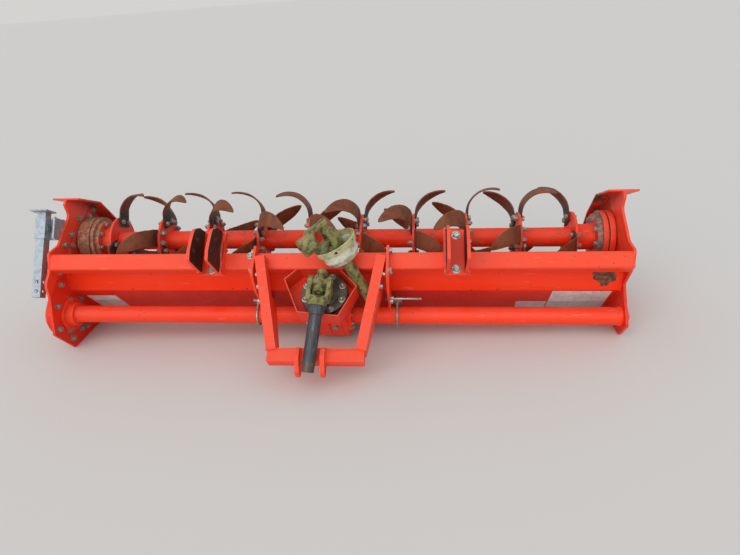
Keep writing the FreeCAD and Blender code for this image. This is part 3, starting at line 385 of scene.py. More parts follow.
def enamel_finish():
    """Sprayed alkyd enamel on rolled plate: bright and half gloss, with painted light as a paler copy on the beam,
    mast and tube, and painted shade as a darker copy on the deck and side plates.
    """
    hue = colours()

    def ground(f):
        """Hue over the machine, front to rear."""
        # painted shade: the deck, everything behind and below it and the side plates take a darker copy of the
        # enamel than the slope, the tube and the beam
        low = f.where((f.y, 0.014, 0.008), (f.z, 0.300, 0.275))
        # the side plates take the darker copy as painted shade too
        ends = f.overlap(f.where((f.from_middle(), 1.1830, 1.1845)), 0.8)
        streaks = f.overlap(low, f.patches(16, 0.45, 0.75, 4.0, 0.6, (1.0, 0.2, 1.0)), 0.35)
        # painted light: the round tube, and the beam and mast forward of y = 0.12 m, take the paler copy
        tube = f.where((f.z, 0.318, 0.326), (f.y, 0.0, -0.004), (f.from_middle(), 1.18, 1.17))
        return f.coats(hue.enamel, (f.either(low, ends), hue.painted_shade_enamel), (streaks, "#A81C0A"),
                       (f.overlap(tube, 0.6), hue.painted_light_enamel),
                       (f.where((f.y, 0.118, 0.130)), hue.painted_light_enamel))

    def worn_places(f, colour, rough):
        """Dust, chips, flakes and bare ears where the photo has them."""
        # dust that washed down to the strip of the slope right under the beam
        strip = f.overlap(f.between(f.y, 0.094, 0.118, 0.008), f.where((f.z, 0.225, 0.215)),
                          f.patches(60, 0.25, 0.6), 0.5)
        # chips along the bend between slope and deck
        bend = f.overlap(f.between(f.y, 0.004, 0.024, 0.004), f.where((f.z, 0.240, 0.250)),
                         f.chips(7.0, 0.10, 13.0), f.patches(120, 0.46, 0.54, 2.0))
        flaked, ears = flaked_patch(f), rubbed_ears(f)
        rusty = f.coats("#4A3228", (f.patches(15, 0.40, 0.60), "#7A5A44"))
        dark = f.coats("#2C1B16", (f.patches(18, 0.42, 0.70, 5.0), "#4E3226"))
        # soil and scratches under the skids
        under = f.overlap(f.where((f.z, -0.06, -0.13), (f.from_middle(), 1.12, 1.13)),
                          f.patches(40, 0.40, 0.58, 5.0, 0.7), 0.85)
        earth = f.coats("#7C6A5E", (f.patches(8, 0.4, 0.6), "#5A3826"))
        colour = f.coats(colour, (strip, "#E58A78"), (bend, "#3A1A14"), (f.overlap(flaked, 0.96), rusty),
                         (f.overlap(ears, 0.97), dark), (under, earth))
        return colour, f.raised(rough, (f.either(flaked, ears), 0.3))

    # the paler painted-light copy also colours the random faded patches
    return weathered_paint("sprayed_enamel", ground, hue.painted_light_enamel, extra=worn_places)


def rotor_enamel_finish():
    """The same enamel on the rotor, scoured by soil: dull, with rusty hubs at both ends."""
    hue = colours()

    def hubs(f, colour, rough):
        """Rust and wear on the hubs, soil beside the flanges."""
        # the left hub is rusty tan to its rim, the right hub's rings are worn grey
        left = f.overlap(f.where((f.x, -1.085, -1.092)), f.patches(30, 0.22, 0.50, 6.0, 0.7))
        tan = f.coats("#7A5642", (f.patches(13, 0.40, 0.62, 6.0, 0.7), "#B8997A"))
        rings = f.overlap(f.either(f.between(f.x, 1.112, 1.133, 0.001), f.between(f.x, 1.151, 1.158, 0.001)),
                          f.patches(26, 0.26, 0.44, 5.0))
        grey = f.coats("#8D7F78", (f.patches(14, 0.40, 0.65, 5.0), "#6A4C40"))
        # dry soil and rust that stick near the flanges, and rubbed rims
        caked = f.overlap(f.patches(34, 0.54, 0.66, 6.0, 0.7), 0.75)
        rims = f.overlap(f.edges(0.004), f.where((f.distance(f.y, f.z, (0, 0)), 0.085, 0.1)),
                         f.patches(20, 0.35, 0.6), 0.7)
        colour = f.coats(colour, (left, tan), (rings, grey), (caked, "#8A6250"), (rims, "#8E6A58"))
        return colour, f.raised(rough, (f.either(left, caked), 0.3))

    return weathered_paint("scoured_enamel", hue.enamel, "#F05A44", dust=0.25, soil=0.6, wear=0.7,
                           chipped=1.0, gloss=0.44, extra=hubs)


def forged_blade_finish():
    """Forged spring steel that soil has scoured: thin brown rust, dark scale left on the shanks."""
    f = Finish("rusted_forged_steel")
    grain = f.patches(7, 0.30, 0.70, 6.0, 0.7)
    shank = f.where((f.distance(f.y, f.z, (0, 0)), 0.160, 0.122))
    scale = f.coats("#2B2628", (grain, "#453832"))
    keen = f.overlap(f.edges(0.0025), f.patches(16, 0.40, 0.60), 0.6)
    dusty = f.overlap(f.where((f.up, 0.4, 1.0)), f.patches(50, 0.45, 0.70), 0.28)
    dark = f.overlap(f.patches(34, 0.46, 0.66, 4.0), 0.6)
    colour = f.coats("#6C301A", (grain, "#8E5028"), (dark, "#4C2A22"), (shank, scale), (keen, "#A28C80"),
                     (dusty, "#A87C5A"))
    return f.wired(colour, f.raised(0.50, (grain, 0.26)), grain, 0.0008, metallic=0.2)


def galvanised_finish():
    """Hot-dip galvanised tube: dull blue-grey with spangle about 12 mm wide and dusty tops."""
    f = Finish("galvanised_steel")
    cells = add(f.tree, "ShaderNodeTexVoronoi", {"Vector": f.place, "Scale": per_mm(12)})
    spangle = add(f.tree, "ShaderNodeSeparateColor", {0: cells.outputs["Color"]}).outputs[1]
    dull = f.overlap(f.patches(30, 0.52, 0.70, 5.0), 0.5)
    rust = f.overlap(f.patches(9, 0.66, 0.72, 4.0), 0.7)
    colour = f.coats("#93A2AE", (spangle, "#B4BEC6"), (dull, "#847E76"), (rust, "#6C4A34"))
    return f.wired(colour, f.raised(0.42, (spangle, 0.16)), spangle, 0.00015, metallic=0.55)


def olive_finish():
    """Olive stoving paint on forged yokes: matt dust over old grease, worn on the corners, with painted highlights
    in pale yellow patches.
    """
    def grease(f, colour, _):
        """Painted highlights in pale yellow patches, smears of old grease, and brown spots."""
        smear = f.patches(28, 0.48, 0.61, 5.0, 0.7)
        # painted highlight: pale yellow patches over a share of each casting
        colour = f.coats(colour, (f.overlap(f.patches(30, 0.44, 0.70, 5.0), 0.6), "#AFA768"),
                         (f.overlap(smear, 0.8), "#38322A"),
                         (f.overlap(f.patches(16, 0.60, 0.70, 5.0, 0.7), 0.8), "#7E4A30"))
        # greasy where it is smeared and dry elsewhere
        return colour, f.raised(0.55, (smear, -0.25))

    return weathered_paint("olive_stoving_paint", colours().olive, "#93945F", dust=0.35, soil=0.7, wear=0.5,
                           chipped=0.6, gloss=0.45, extra=grease)


def dark_tube_finish():
    """Drawn steel tube, thinly painted: almost black, scored along its length, rusty at its mouth."""
    f = Finish("dark_drawn_tube")
    streaks = f.patches(5, 0.35, 0.70, 3.0, 0.6, (1.0, 0.25, 0.06))
    mouth = f.overlap(f.where((f.along(JOINT, SHAFT), 0.285, 0.335)), f.patches(26, 0.44, 0.58, 5.0))
    scored = f.overlap(f.patches(4, 0.62, 0.72, 2.0, 0.5, (1.0, 0.3, 0.05)), 0.5)
    colour = f.coats("#37393D", (streaks, "#54585C"), (mouth, "#6E4A32"), (scored, "#8B9194"))
    return f.wired(colour, 0.42, streaks, 0.0002, metallic=0.3)


def oily_iron_finish():
    """Grey iron discs under oil and dust: near black and half wet, with a red bloom."""
    f = Finish("oily_cast_iron")
    cast = f.patches(6, 0.30, 0.70, 5.0, 0.7)
    dry = f.overlap(f.where((f.up, 0.2, 0.9)), f.patches(36, 0.40, 0.62), 0.55)
    bloom = f.overlap(f.patches(30, 0.48, 0.66, 5.0), 0.5)
    colour = f.coats("#33302B", (cast, "#544C3E"), (bloom, "#5E2E22"), (dry, "#7E7460"))
    return f.wired(colour, f.raised(0.30, (cast, 0.22)), cast, 0.0006, metallic=0.25)


def cream_plastic_finish():
    """Moulded polyethylene guard, once pale yellow: chalky, scuffed, whitish past its step."""
    f = Finish("moulded_polyethylene")
    past_step = f.overlap(f.where((f.along(BELL, LOOSE), 0.024, 0.028)), 0.8)
    scuffs = f.overlap(f.patches(10, 0.62, 0.72, 3.0, 0.6, (0.3, 1.0, 1.0)), 0.5)
    colour = f.coats(colours().cream, (f.patches(60, 0.35, 0.70, 4.0), "#B9B47E"), (past_step, "#D6D6CA"),
                     (f.overlap(f.patches(26, 0.45, 0.65, 5.0), 0.65), "#76764E"), (scuffs, "#DCD9BC"))
    f.shader.inputs["Subsurface Weight"].default_value = 0.05
    return f.wired(colour, 0.5, f.patches(60, 0.3, 0.7), 0.0005, ior=1.5)


def zinc_finish():
    """Zinc-plated fasteners: pale, slightly yellow, with dull bloom and grime in the corners."""
    f = Finish("zinc_plating")
    bloom = f.patches(9, 0.35, 0.70, 4.0)
    grime = f.overlap(f.patches(14, 0.55, 0.70, 4.0), 0.6)
    colour = f.coats("#BEBFBB", (bloom, "#8D8A80"), (grime, "#5A5044"))
    return f.wired(colour, f.raised(0.26, (bloom, 0.24)), bloom, 0.0001, metallic=0.8)


def dull_bolt_finish():
    """Older bolts on the plates and rotor: zinc gone grey-brown under soil and rust."""
    f = Finish("weathered_bolt_steel")
    bloom = f.patches(12, 0.35, 0.68, 5.0, 0.7)
    rust = f.overlap(f.patches(20, 0.58, 0.68, 4.0), 0.6)
    colour = f.coats("#B3A9A2", (bloom, "#7D6C62"), (rust, "#A8472E"))
    return f.wired(colour, f.raised(0.4, (bloom, 0.25)), bloom, 0.0002, metallic=0.45)


def label_finish():
    """Blank vinyl label: off-white film, scuffed, greyer towards its lower half."""
    f = Finish("blank_vinyl_film")
    lower = f.overlap(f.where((f.y, -0.105, -0.112), (f.y, 0.1, 0.0)), 0.45)
    colour = f.coats("#F0F0EE", (f.patches(40, 0.40, 0.72, 5.0), "#CFCFCE"), (lower, "#A2A2A6"),
                     (f.overlap(f.patches(12, 0.58, 0.68, 4.0), 0.5), "#8B7C70"))
    return f.wired(colour, 0.42, f.patches(40, 0.3, 0.7), 0.0001, ior=1.46)


FINISH_MAKERS = {
    "red_paint": enamel_finish,
    "rotor_paint": rotor_enamel_finish,
    "blade_steel": forged_blade_finish,
    "galvanised_steel": galvanised_finish,
    "olive_paint": olive_finish,
    "black_tube": dark_tube_finish,
    "cast_clutch": oily_iron_finish,
    "cream_plastic": cream_plastic_finish,
    "zinc_steel": zinc_finish,
    "dull_bolt": dull_bolt_finish,
    "label": label_finish,
}
FINISHES = {}


def finish_for(slot):
    """The finish of a slot, made the first time it is asked for."""
    if slot not in FINISHES:
        FINISHES[slot] = FINISH_MAKERS[slot]()
    return FINISHES[slot]


# Mesh code, all in the machine's frame and in millimetres

def square_to(direction):
    """Two unit vectors square to a direction and to each other."""
    along = Vector(direction).normalized()
    side = Vector((1, 0, 0)) if abs(along.x) < 0.9 else Vector((0, 1, 0))
    first = (side - along * side.dot(along)).normalized()
    return first, along.cross(first)


def bridge(bm, first, second):
    """Faces between two rings of the same count."""
    count = len(first)
    for i in range(count):
        bm.faces.new((first[i], first[(i + 1) % count], second[(i + 1) % count], second[i]))


def skin(bm, rings, closed=False):
    """Faces over a run of rings, capped at both ends or joined into a loop."""
    for near, far in zip(rings, rings[1:]):
        bridge(bm, near, far)
    if closed:
        bridge(bm, rings[-1], rings[0])
    else:
        bm.faces.new(rings[0][::-1])
        bm.faces.new(rings[-1])


def ring(bm, centre, first, second, radius, count, phase=0.0):
    """Round ring of points; a radius may be a list with one number per point."""
    radii = radius if isinstance(radius, list) else [radius] * count
    turns = [2 * math.pi * i / count + phase for i in range(count)]
    return [bm.verts.new(centre + first * (r * math.cos(a)) + second * (r * math.sin(a)))
            for r, a in zip(radii, turns)]


def oval(bm, centre, first, second, half_first, half_second, count=24, power=4.0):
    """Ring with flattened sides, like a rounded rectangle."""
    made = []
    for i in range(count):
        angle = 2 * math.pi * i / count
        c, s = math.cos(angle), math.sin(angle)
        made.append(bm.verts.new(centre + first * (half_first * math.copysign(abs(c) ** (2 / power), c))
                                 + second * (half_second * math.copysign(abs(s) ** (2 / power), s))))
    return made


def turned_form(bm, start, direction, profile, count=32, phase=0.0, hollow=False):
    """Round form: profile rows are a distance along and a radius; hollow rows close on themselves."""
    along = Vector(direction).normalized()
    first, second = square_to(along)
    start = Vector(start)
    rings = [ring(bm, start + along * distance, first, second, radius, count, phase)
             for distance, radius in profile]
    skin(bm, rings, closed=hollow)


def hex_bolt(bm, seat, out, across, reach=None, washer=True, phase=0.0, dome=False):
    """Bolt head with its washer; with a reach, a nut with that much thread standing out."""
    out = Vector(out).normalized()
    seat = Vector(seat)
    corner = across / math.sqrt(3)
    height = across * (0.55 if reach is None else 0.75)
    base = 0.0
    if washer:
        base = across * 0.13
        turned_form(bm, seat - out * 0.3, out, ((0, across * 0.80), (base + 0.2, across * 0.80),
                                                (base + 0.35, across * 0.76)), 20)
    head = seat + out * (base - 0.1)
    turned_form(bm, head, out, ((0, corner), (height * 0.84, corner), (height, corner * 0.84)), 6, phase)
    if dome:
        turned_form(bm, head, out, [(height - 0.5 + 0.42 * across * math.sin(a), 0.45 * across * math.cos(a))
                                    for a in (0, 0.4, 0.8, 1.2, 1.45)], 14)
    elif reach:
        thread = across * 0.3
        steps = max(4, int(reach / 2.0))
        rows = [(height - 0.2 + reach * i / steps, thread * (1.0 if i % 2 else 0.9)) for i in range(steps)]
        turned_form(bm, head, out, rows + [(height + reach, thread * 0.7)], 12)


def plate_form(bm, outline, low, high):
    """Plate square to X from an outline of (y, z) points."""
    skin(bm, [[bm.verts.new((x, y, z)) for y, z in outline] for x in (low, high)])


def slab(bm, corners, out, thick, sink=0.3):
    """Thin plate on a surface: its corners on the face and the way out."""
    out = Vector(out).normalized()
    skin(bm, [[bm.verts.new(Vector(corner) + out * height) for corner in corners]
              for height in (-sink, thick)])


def swept(bm, points, radius, count=10, closed=False):
    """Round bar along a path of points; radius is a number or one number per point."""
    points = [Vector(point) for point in points]
    radii = radius if isinstance(radius, (list, tuple)) else [radius] * len(points)
    first = None
    rings = []
    last = len(points) - 1
    for i, point in enumerate(points):
        before = points[i - 1] if i else (points[-1] if closed else point)
        after = points[i + 1] if i < last else (points[0] if closed else point)
        along = (after - before).normalized()
        if first is None:
            first = square_to(along)[0]
        first = (first - along * first.dot(along)).normalized()
        rings.append(ring(bm, point, first, along.cross(first), radii[i], count))
    skin(bm, rings, closed)


def bead_radii(count, uneven, dice):
    """Radii along a weld bead: the ripple of its passes, and how uneven the hand was."""
    bead = sizes().weld_bead * 1000
    return [bead * (0.72 + 0.28 * (i % 2) + dice.uniform(-uneven, uneven)) for i in range(count)]


def weld(bm, start, end, dice):
    """Run of weld between two points, with a ripple every 5 mm."""
    start, end = Vector(start), Vector(end)
    steps = max(3, int((end - start).length / 5.0))
    points = [start.lerp(end, i / steps) for i in range(steps + 1)]
    swept(bm, points, bead_radii(steps + 1, 0.12, dice), 6)


def weld_round(bm, centre, axis, radius, dice):
    """Weld around a round member, with a ripple every 6 mm."""
    first, second = square_to(axis)
    steps = max(12, int(2 * math.pi * radius / 6.0))
    turns = [2 * math.pi * i / steps for i in range(steps)]
    points = [Vector(centre) + first * (radius * math.cos(a)) + second * (radius * math.sin(a))
              for a in turns]
    swept(bm, points, bead_radii(steps, 0.1, dice), 6, closed=True)


def loose_mesh(bm, name):
    """Object of mesh code, moved from the machine's frame to where the machine lies."""
    bm.transform(MACHINE)
    bmesh.ops.recalc_face_normals(bm, faces=bm.faces)
    mesh = bpy.data.meshes.new(name)
    bm.to_mesh(mesh)
    bm.free()
    made = bpy.data.objects.new(name, mesh)
    bpy.context.scene.collection.objects.link(made)
    return made


def dress(made, slot, body, replaces=(), smooth=35.0):
    """Give a piece the finish of its slot, and let it ride on a body."""
    made.data.shade_smooth()
    made.data.set_sharp_from_angle(angle=math.radians(smooth))
    made.data.materials.clear()
    made.data.materials.append(finish_for(slot))
    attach(made, body)
    if replaces:
        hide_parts(*replaces)
    return made


def piece(name, bm, slot, body, replaces=(), smooth=35.0):
    """Piece of mesh code on a body."""
    return dress(loose_mesh(bm, name), slot, body, replaces, smooth)


def carved(name, bm, cutter, slot, body, replaces=(), voxel=None, calm=3, smooth=40.0):
    """Piece with bores cut into it; a voxel size in mm first casts its forms into one rounded body."""
    raw = loose_mesh(bm, "raw_" + name)
    if voxel:
        cast = raw.modifiers.new("one_body", "REMESH")
        cast.mode = "VOXEL"
        cast.voxel_size = voxel / 1000
        fillets = raw.modifiers.new("fillets", "SMOOTH")
        fillets.factor = 0.5
        fillets.iterations = calm
    tool = loose_mesh(cutter, "tool_" + name) if cutter else None
    if tool:
        cut = raw.modifiers.new("bores", "BOOLEAN")
        cut.operation = "DIFFERENCE"
        cut.solver = "EXACT"
        cut.object = tool
    bpy.context.view_layer.update()
    mesh = bpy.data.meshes.new_from_object(raw.evaluated_get(bpy.context.evaluated_depsgraph_get()))
    mesh.name = name
    if len(mesh.polygons) < 12:
        raise RuntimeError(name + " came out empty")
    for thing in (raw, tool):
        if thing:
            spent = thing.data
            bpy.data.objects.remove(thing)
            bpy.data.meshes.remove(spent)
    made = bpy.data.objects.new(name, mesh)
    bpy.context.scene.collection.objects.link(made)
    return dress(made, slot, body, replaces, smooth)


def soften(thing, width, segments=2, angle=32.0):
    """Round the sharp edges of a piece."""
    rounding = thing.modifiers.new("rounded_edges", "BEVEL")
    rounding.width = width
    rounding.segments = segments
    rounding.limit_method = "ANGLE"
    rounding.angle_limit = math.radians(angle)


def on_beam(out, along):
    """Y and Z of a point given out from the beam's middle and along its front face."""
    y, z, _, roll = BEAM
    return (y + math.cos(roll) * out - math.sin(roll) * along,
            z + math.sin(roll) * out + math.cos(roll) * along)


def deck_z(y):
    """Height of the deck's outer face at y."""
    (_, _), (y1, z1), (y2, z2) = HOOD
    return z1 + (y - y1) * (z2 - z1) / (y2 - y1)


def tangent_hull(grow):
    """Outline of the gear case as (y, z) points, grown by a distance."""
    (y0, z0, r0), (y1, z1, r1) = CASE
    gap = math.hypot(y1 - y0, z1 - z0)
    base = math.atan2(z1 - z0, y1 - y0)
    turn = math.acos((r0 - r1) / gap)
    points = []
    for y, z, r, start, sweep in ((y1, z1, r1, base + turn, -2 * turn),
                                  (y0, z0, r0, base - turn, 2 * turn - 2 * math.pi)):
        for i in range(17):
            angle = start + sweep * i / 16
            points.append((y + (r + grow) * math.cos(angle), z + (r + grow) * math.sin(angle)))
    return points


def inside_case(y, z, room):
    """True if a point of the left plate lies under the gear case."""
    (y0, z0, r0), (y1, z1, r1) = CASE
    t = max(0.0, min(1.0, ((y - y0) * (y1 - y0) + (z - z0) * (z1 - z0)) / ((y1 - y0) ** 2 + (z1 - z0) ** 2)))
    return math.hypot(y - y0 - t * (y1 - y0), z - z0 - t * (z1 - z0)) < r0 + (r1 - r0) * t + room


def leg_line(side):
    """Frame of a mast leg: its foot, its top and the directions along, across and deep."""
    foot, top = LEG_ENDS[side]
    along = (top - foot).normalized()
    width = (Vector((1, 0, 0)) - along * along.x).normalized()
    return foot, top, along, width, along.cross(width)


# Pieces

class TILLER_OT_frame_finishes(bpy.types.Operator):
    """Give every node of the frame its finish and rounded edges"""

    bl_idname = "tiller.frame_finishes"
    bl_label = "Frame finishes"

    def execute(self, context):
        for name, node in frame["nodes"].items():
            node.data.materials.clear()
            node.data.materials.append(finish_for(NODE_SLOT[name]))
            joined = node.modifiers.new("joined_corners", "WELD")
            joined.merge_threshold = 0.00002
            soften(node, sizes().edge_round)
        return {"FINISHED"}


# Bolts through the left plate, those beside the hood through the right one, and the ones
# through a mast plate: y, z. Then the hitch brackets' bolts, along the beam's front face, and
# those into a mast leg, as shares of its length.
LEFT_PLATE_BOLTS = ((126, -41), (68, -94), (84, -4), (137, 56), (153, 119), (103, 93), (54, -143), (-5, -165),
                    (122, 243), (89, 283), (6, 313), (-66, 270), (63, 374), (6, 393), (3, 455), (-63, 431),
                    (-135, 388), (-165, 361), (-99, 453))
RIGHT_PLATE_BOLTS = ((112, 180), (52, 220), (-60, 240), (-150, 232), (-96, 340))
MAST_PLATE_BOLTS = ((228, 206), (226, 292), (176, 276), (60, 346), (-66, 322), (-30, 292))
MAST_PLATE_T = 10.0
BEHIND_BEAM = 60.0              # up to this y a mast plate's bolts show their nuts
BRACKET_BOLTS = (-98.0, 40.0)
BRACKET_FACE = 47.0             # from the beam's middle to the bracket's base
LEG_BOLTS = (0.10, 0.24)
MAST_BOLT = 17.0                # across flats
BRACKET_BOLT = 22.0


class TILLER_OT_plate_bolts(bpy.types.Operator):
    """Bolts through the side plates, the hitch brackets, the mast plates and the mast legs"""

    bl_idname = "tiller.plate_bolts"
    bl_label = "Plate bolts"

    def execute(self, context):
        dice = random.Random(11)
        dull, bright = bmesh.new(), bmesh.new()
        across = sizes().frame_bolt * 1000

        def bolt(bm, spot, out, size, reach=None):
            """Bolt head turned by chance, as a spanner leaves it."""
            hex_bolt(bm, spot, out, size, reach=reach, phase=dice.uniform(0, 1))

        for side, spots in ((-1, LEFT_PLATE_BOLTS), (1, RIGHT_PLATE_BOLTS)):
            for y, z in spots:
                if z > -150:        # below that the skid covers the head
                    bolt(dull, (side * HALF_WIDTH, y, z), (-side, 0, 0), across)
                if side > 0 or not inside_case(y, z, 26):
                    bolt(dull, (side * (HALF_WIDTH + PLATE_T), y, z), (side, 0, 0), across, reach=5)
        for x in HITCH_X:
            for along in BRACKET_BOLTS:
                bolt(bright, (x, *on_beam(BRACKET_FACE, along)), BEAM_OUT, BRACKET_BOLT)
        for side, x in MAST_PLATE_X.items():
            for y, z in MAST_PLATE_BOLTS:
                bolt(bright, (x, y, z), (side, 0, 0), MAST_BOLT)
                if y < BEHIND_BEAM:
                    bolt(bright, (x - side * MAST_PLATE_T, y, z), (-side, 0, 0), MAST_BOLT, reach=6)
        for side in (-1, 1):
            foot, top, _, width, _ = leg_line(side)
            for share in LEG_BOLTS:
                bolt(bright, foot.lerp(top, share) + width * (side * LEG_HALF[0]), width * side, MAST_BOLT)
        piece("plate_bolts", dull, "dull_bolt", "machine")
        piece("mast_bolts", bright, "zinc_steel", "machine")
        return {"FINISHED"}


# One blade from root to tip: radius, offset along X, trailing angle, half width and the turn
# of its thickness from along X (0) to radial (90), the same rows as its plain solid
BLADE_ROWS = ((64, 0, 0, 37, 0), (116, 0, 1, 38, 4), (150, 7, 3, 39, 26), (180, 27, 5, 39, 48),
              (202, 56, 8, 37, 68), (212, 88, 12, 31, 82), (214, 116, 17, 20, 92), (212, 134, 21, 6, 98))
# Angle of the first left-hand and right-hand blade on each flange
BLADE_ANGLES = ((None, 60), (27, 80), (42, 97), (47, 120), (70, 125), (100, 155), (112, 152), (122, 178),
                (145, 193), (163, None))
BLADE_T = 8.0
BLADE_BOLT = (86.0, 22.0)       # radius of the two bolts' line and how far each stands aside


def smooth_rows(rows, steps):
    """Rows between the given ones on smooth curves."""
    made = []
    count = len(rows)
    for i in range(count - 1):
        around = (rows[max(i - 1, 0)], rows[i], rows[i + 1], rows[min(i + 2, count - 1)])
        for step in range(steps):
            t = step / steps
            made.append(tuple(0.5 * (2 * b + (c - a) * t + (2 * a - 5 * b + 4 * c - d) * t * t
                                     + (3 * b - a - 3 * c + d) * t ** 3) for a, b, c, d in zip(*around)))
    made.append(tuple(float(v) for v in rows[-1]))
    return made


def forged_blade(bm, x, hand, angle, dice):
    """Curved blade: square at its root, with a rounded back and a thin, nicked cutting edge farther out."""
    rings = []
    for radius, out, trail, half_width, turn in smooth_rows(BLADE_ROWS, 4):
        direction = math.radians(angle + trail)
        radial = Vector((0, math.cos(direction), math.sin(direction)))
        tangent = Vector((0, -math.sin(direction), math.cos(direction)))
        tilt = math.radians(turn)
        thick = (Vector((hand, 0, 0)) * math.cos(tilt) - radial * math.sin(tilt)) * (BLADE_T / 2)
        centre = Vector((x + hand * (FLANGE_HALF + BLADE_T / 2 + out), 0, 0)) + radial * radius
        keen = min(1.0, max(0.0, (radius - 118) / 40))
        worn = 1.0 - 0.05 * keen * dice.random()
        shape = ((-1.0, 0.9 - 0.75 * keen), (-0.72, 1.0 - 0.15 * keen), (0.0, 1.0), (0.78, 1.0 - 0.1 * keen),
                 (0.96, 0.72), (1.0, 0.0), (0.96, -0.72), (0.78, -1.0), (0.0, -1.0), (-0.72, -1.0),
                 (-1.0, -0.9 + 0.1 * keen))
        rings.append([bm.verts.new(centre + tangent * (across * half_width * worn) + thick * deep)
                      for across, deep in shape])
    skin(bm, rings)


def apart(first, second):
    """Smallest angle in degrees between two sets of three blades."""
    gap = (first - second) % 120
    return min(gap, 120 - gap)


class TILLER_OT_rotor_blades(bpy.types.Operator):
    """Forged blades in place of the plain ones, with two bolts and nuts through each shank"""

    bl_idname = "tiller.rotor_blades"
    bl_label = "Rotor blades"

    def execute(self, context):
        dice = random.Random(5)
        bolts = bmesh.new()
        across = sizes().blade_bolt * 1000
        for hand, name in ((-1, "left"), (1, "right")):
            bm = bmesh.new()
            for x, angles in zip(FLANGE_X, BLADE_ANGLES):
                own, other = angles if hand < 0 else angles[::-1]
                if own is None:
                    continue
                for turn in range(3):
                    angle = own + 120.0 * turn
                    forged_blade(bm, x, hand, angle, dice)
                    direction = math.radians(angle)
                    radial = Vector((0, math.cos(direction), math.sin(direction)))
                    tangent = Vector((0, -math.sin(direction), math.cos(direction)))
                    for aside in (-1, 1):
                        spot = Vector((x, 0, 0)) + radial * BLADE_BOLT[0] + tangent * (aside * BLADE_BOLT[1])
                        face = Vector((hand, 0, 0))
                        hex_bolt(bolts, spot + face * (FLANGE_HALF + BLADE_T), face, across, washer=False,
                                 phase=dice.uniform(0, 1))
                        if other is None or apart(own + aside * 14, other) > 32:
                            hex_bolt(bolts, spot - face * FLANGE_HALF, -face, across, reach=5,
                                     phase=dice.uniform(0, 1))
            piece("forged_blades_" + name, bm, "blade_steel", "rotor", ("blades_" + name + "_hand",))
        piece("blade_bolts", bolts, "dull_bolt", "rotor")
        return {"FINISHED"}


# Bolt rings on the rotor's hubs: x, radius, the way they face
HUB_BOLTS = ((-1088.0, 79.0, 1), (1112.0, 80.0, -1))


class TILLER_OT_rotor_hubs(bpy.types.Operator):
    """Bolt rings of the hubs and the welds of the blade flanges"""

    bl_idname = "tiller.rotor_hubs"
    bl_label = "Rotor hubs"

    def execute(self, context):
        dice = random.Random(17)
        bolts, beads = bmesh.new(), bmesh.new()
        for x, radius, way in HUB_BOLTS:
            for i in range(8):
                angle = math.radians(45 * i + 10)
                hex_bolt(bolts, (x, radius * math.cos(angle), radius * math.sin(angle)), (way, 0, 0), 18,
                         phase=dice.uniform(0, 1))
            reach = 62.0 if way > 0 else 56.0
            weld_round(beads, (x, 0, 0), (1, 0, 0), reach, dice)
        for x in FLANGE_X:
            for way in (-1, 1):
                outer_end = abs(x + way * 200) > abs(FLANGE_X[0])
                weld_round(beads, (x + way * FLANGE_HALF, 0, 0), (1, 0, 0),
                           42.0 if not outer_end else (62.0 if x < 0 else 56.0), dice)
        piece("hub_bolts", bolts, "dull_bolt", "rotor")
        piece("rotor_welds", beads, "rotor_paint", "rotor", smooth=60)
        return {"FINISHED"}


STUD_RING = 78.0
STUD_ANGLES = [math.radians(45 * (i + 0.5)) for i in range(8)]
# Discs from the rear one to the front one: distance forward and radius
CLUTCH_PROFILE = ((0, 88), (1, 93), (3, 94), (11, 94), (12, 93), (12.4, 84), (14, 84), (14.4, 87), (18.6, 87),
                  (19, 83), (20.8, 83), (21.2, 87), (25.4, 87), (25.8, 84), (26.4, 84), (27, 91), (28, 92),
                  (36, 92), (37.5, 90.5), (38, 88), (38, 64), (35.5, 62), (35.5, 55), (38.0, 52), (38.8, 50),
                  (38.9, 47))
STUD_BOSS = ((0, 13.6), (8.6, 13.6), (9.6, 12.4))
BOSS_START = 30.0               # forward of the first disc
STUD_SEAT = 39.4


class TILLER_OT_friction_clutch(bpy.types.Operator):
    """Stack of clutch plates with its studs, washers and domed nuts"""

    bl_idname = "tiller.friction_clutch"
    bl_label = "Friction clutch"

    def execute(self, context):
        discs = bmesh.new()
        turned_form(discs, INPUT, AHEAD, CLUTCH_PROFILE, 64)
        spots = [INPUT + Vector((STUD_RING * math.cos(a), 0, STUD_RING * math.sin(a))) for a in STUD_ANGLES]
        for spot in spots:
            turned_form(discs, spot + AHEAD * BOSS_START, AHEAD, STUD_BOSS, 20)
        piece("clutch_plates", discs, "cast_clutch", "machine", ("friction_clutch",), smooth=28)
        studs = bmesh.new()
        for i, spot in enumerate(spots):
            hex_bolt(studs, spot + AHEAD * STUD_SEAT, AHEAD, 17.5, phase=0.7 * i, dome=True)
            hex_bolt(studs, spot, -AHEAD, 16, washer=False, phase=0.5 * i)
        piece("clutch_studs", studs, "zinc_steel", "machine")
        return {"FINISHED"}


# Root of a fork and one of its arms, as rounded sections: how far behind the cross, how far aside
# (arm only), half sizes across and deep, and how square
FORK_ROOT = ((84, 37, 36, 2.2), (78, 45.5, 33, 2.6), (70, 46.8, 30, 3.0), (61, 46.8, 27, 3.4),
             (57, 46.6, 24, 3.6))
FORK_ARM = ((78, 33.5, 12.5, 25, 3.2), (64, 35.4, 11.2, 24, 4.0), (44, 37.2, 9.4, 21.6, 4.5),
            (22, 37.4, 8.6, 19.6, 5.0), (0, 37.2, 8.8, 18.6, 5.0))
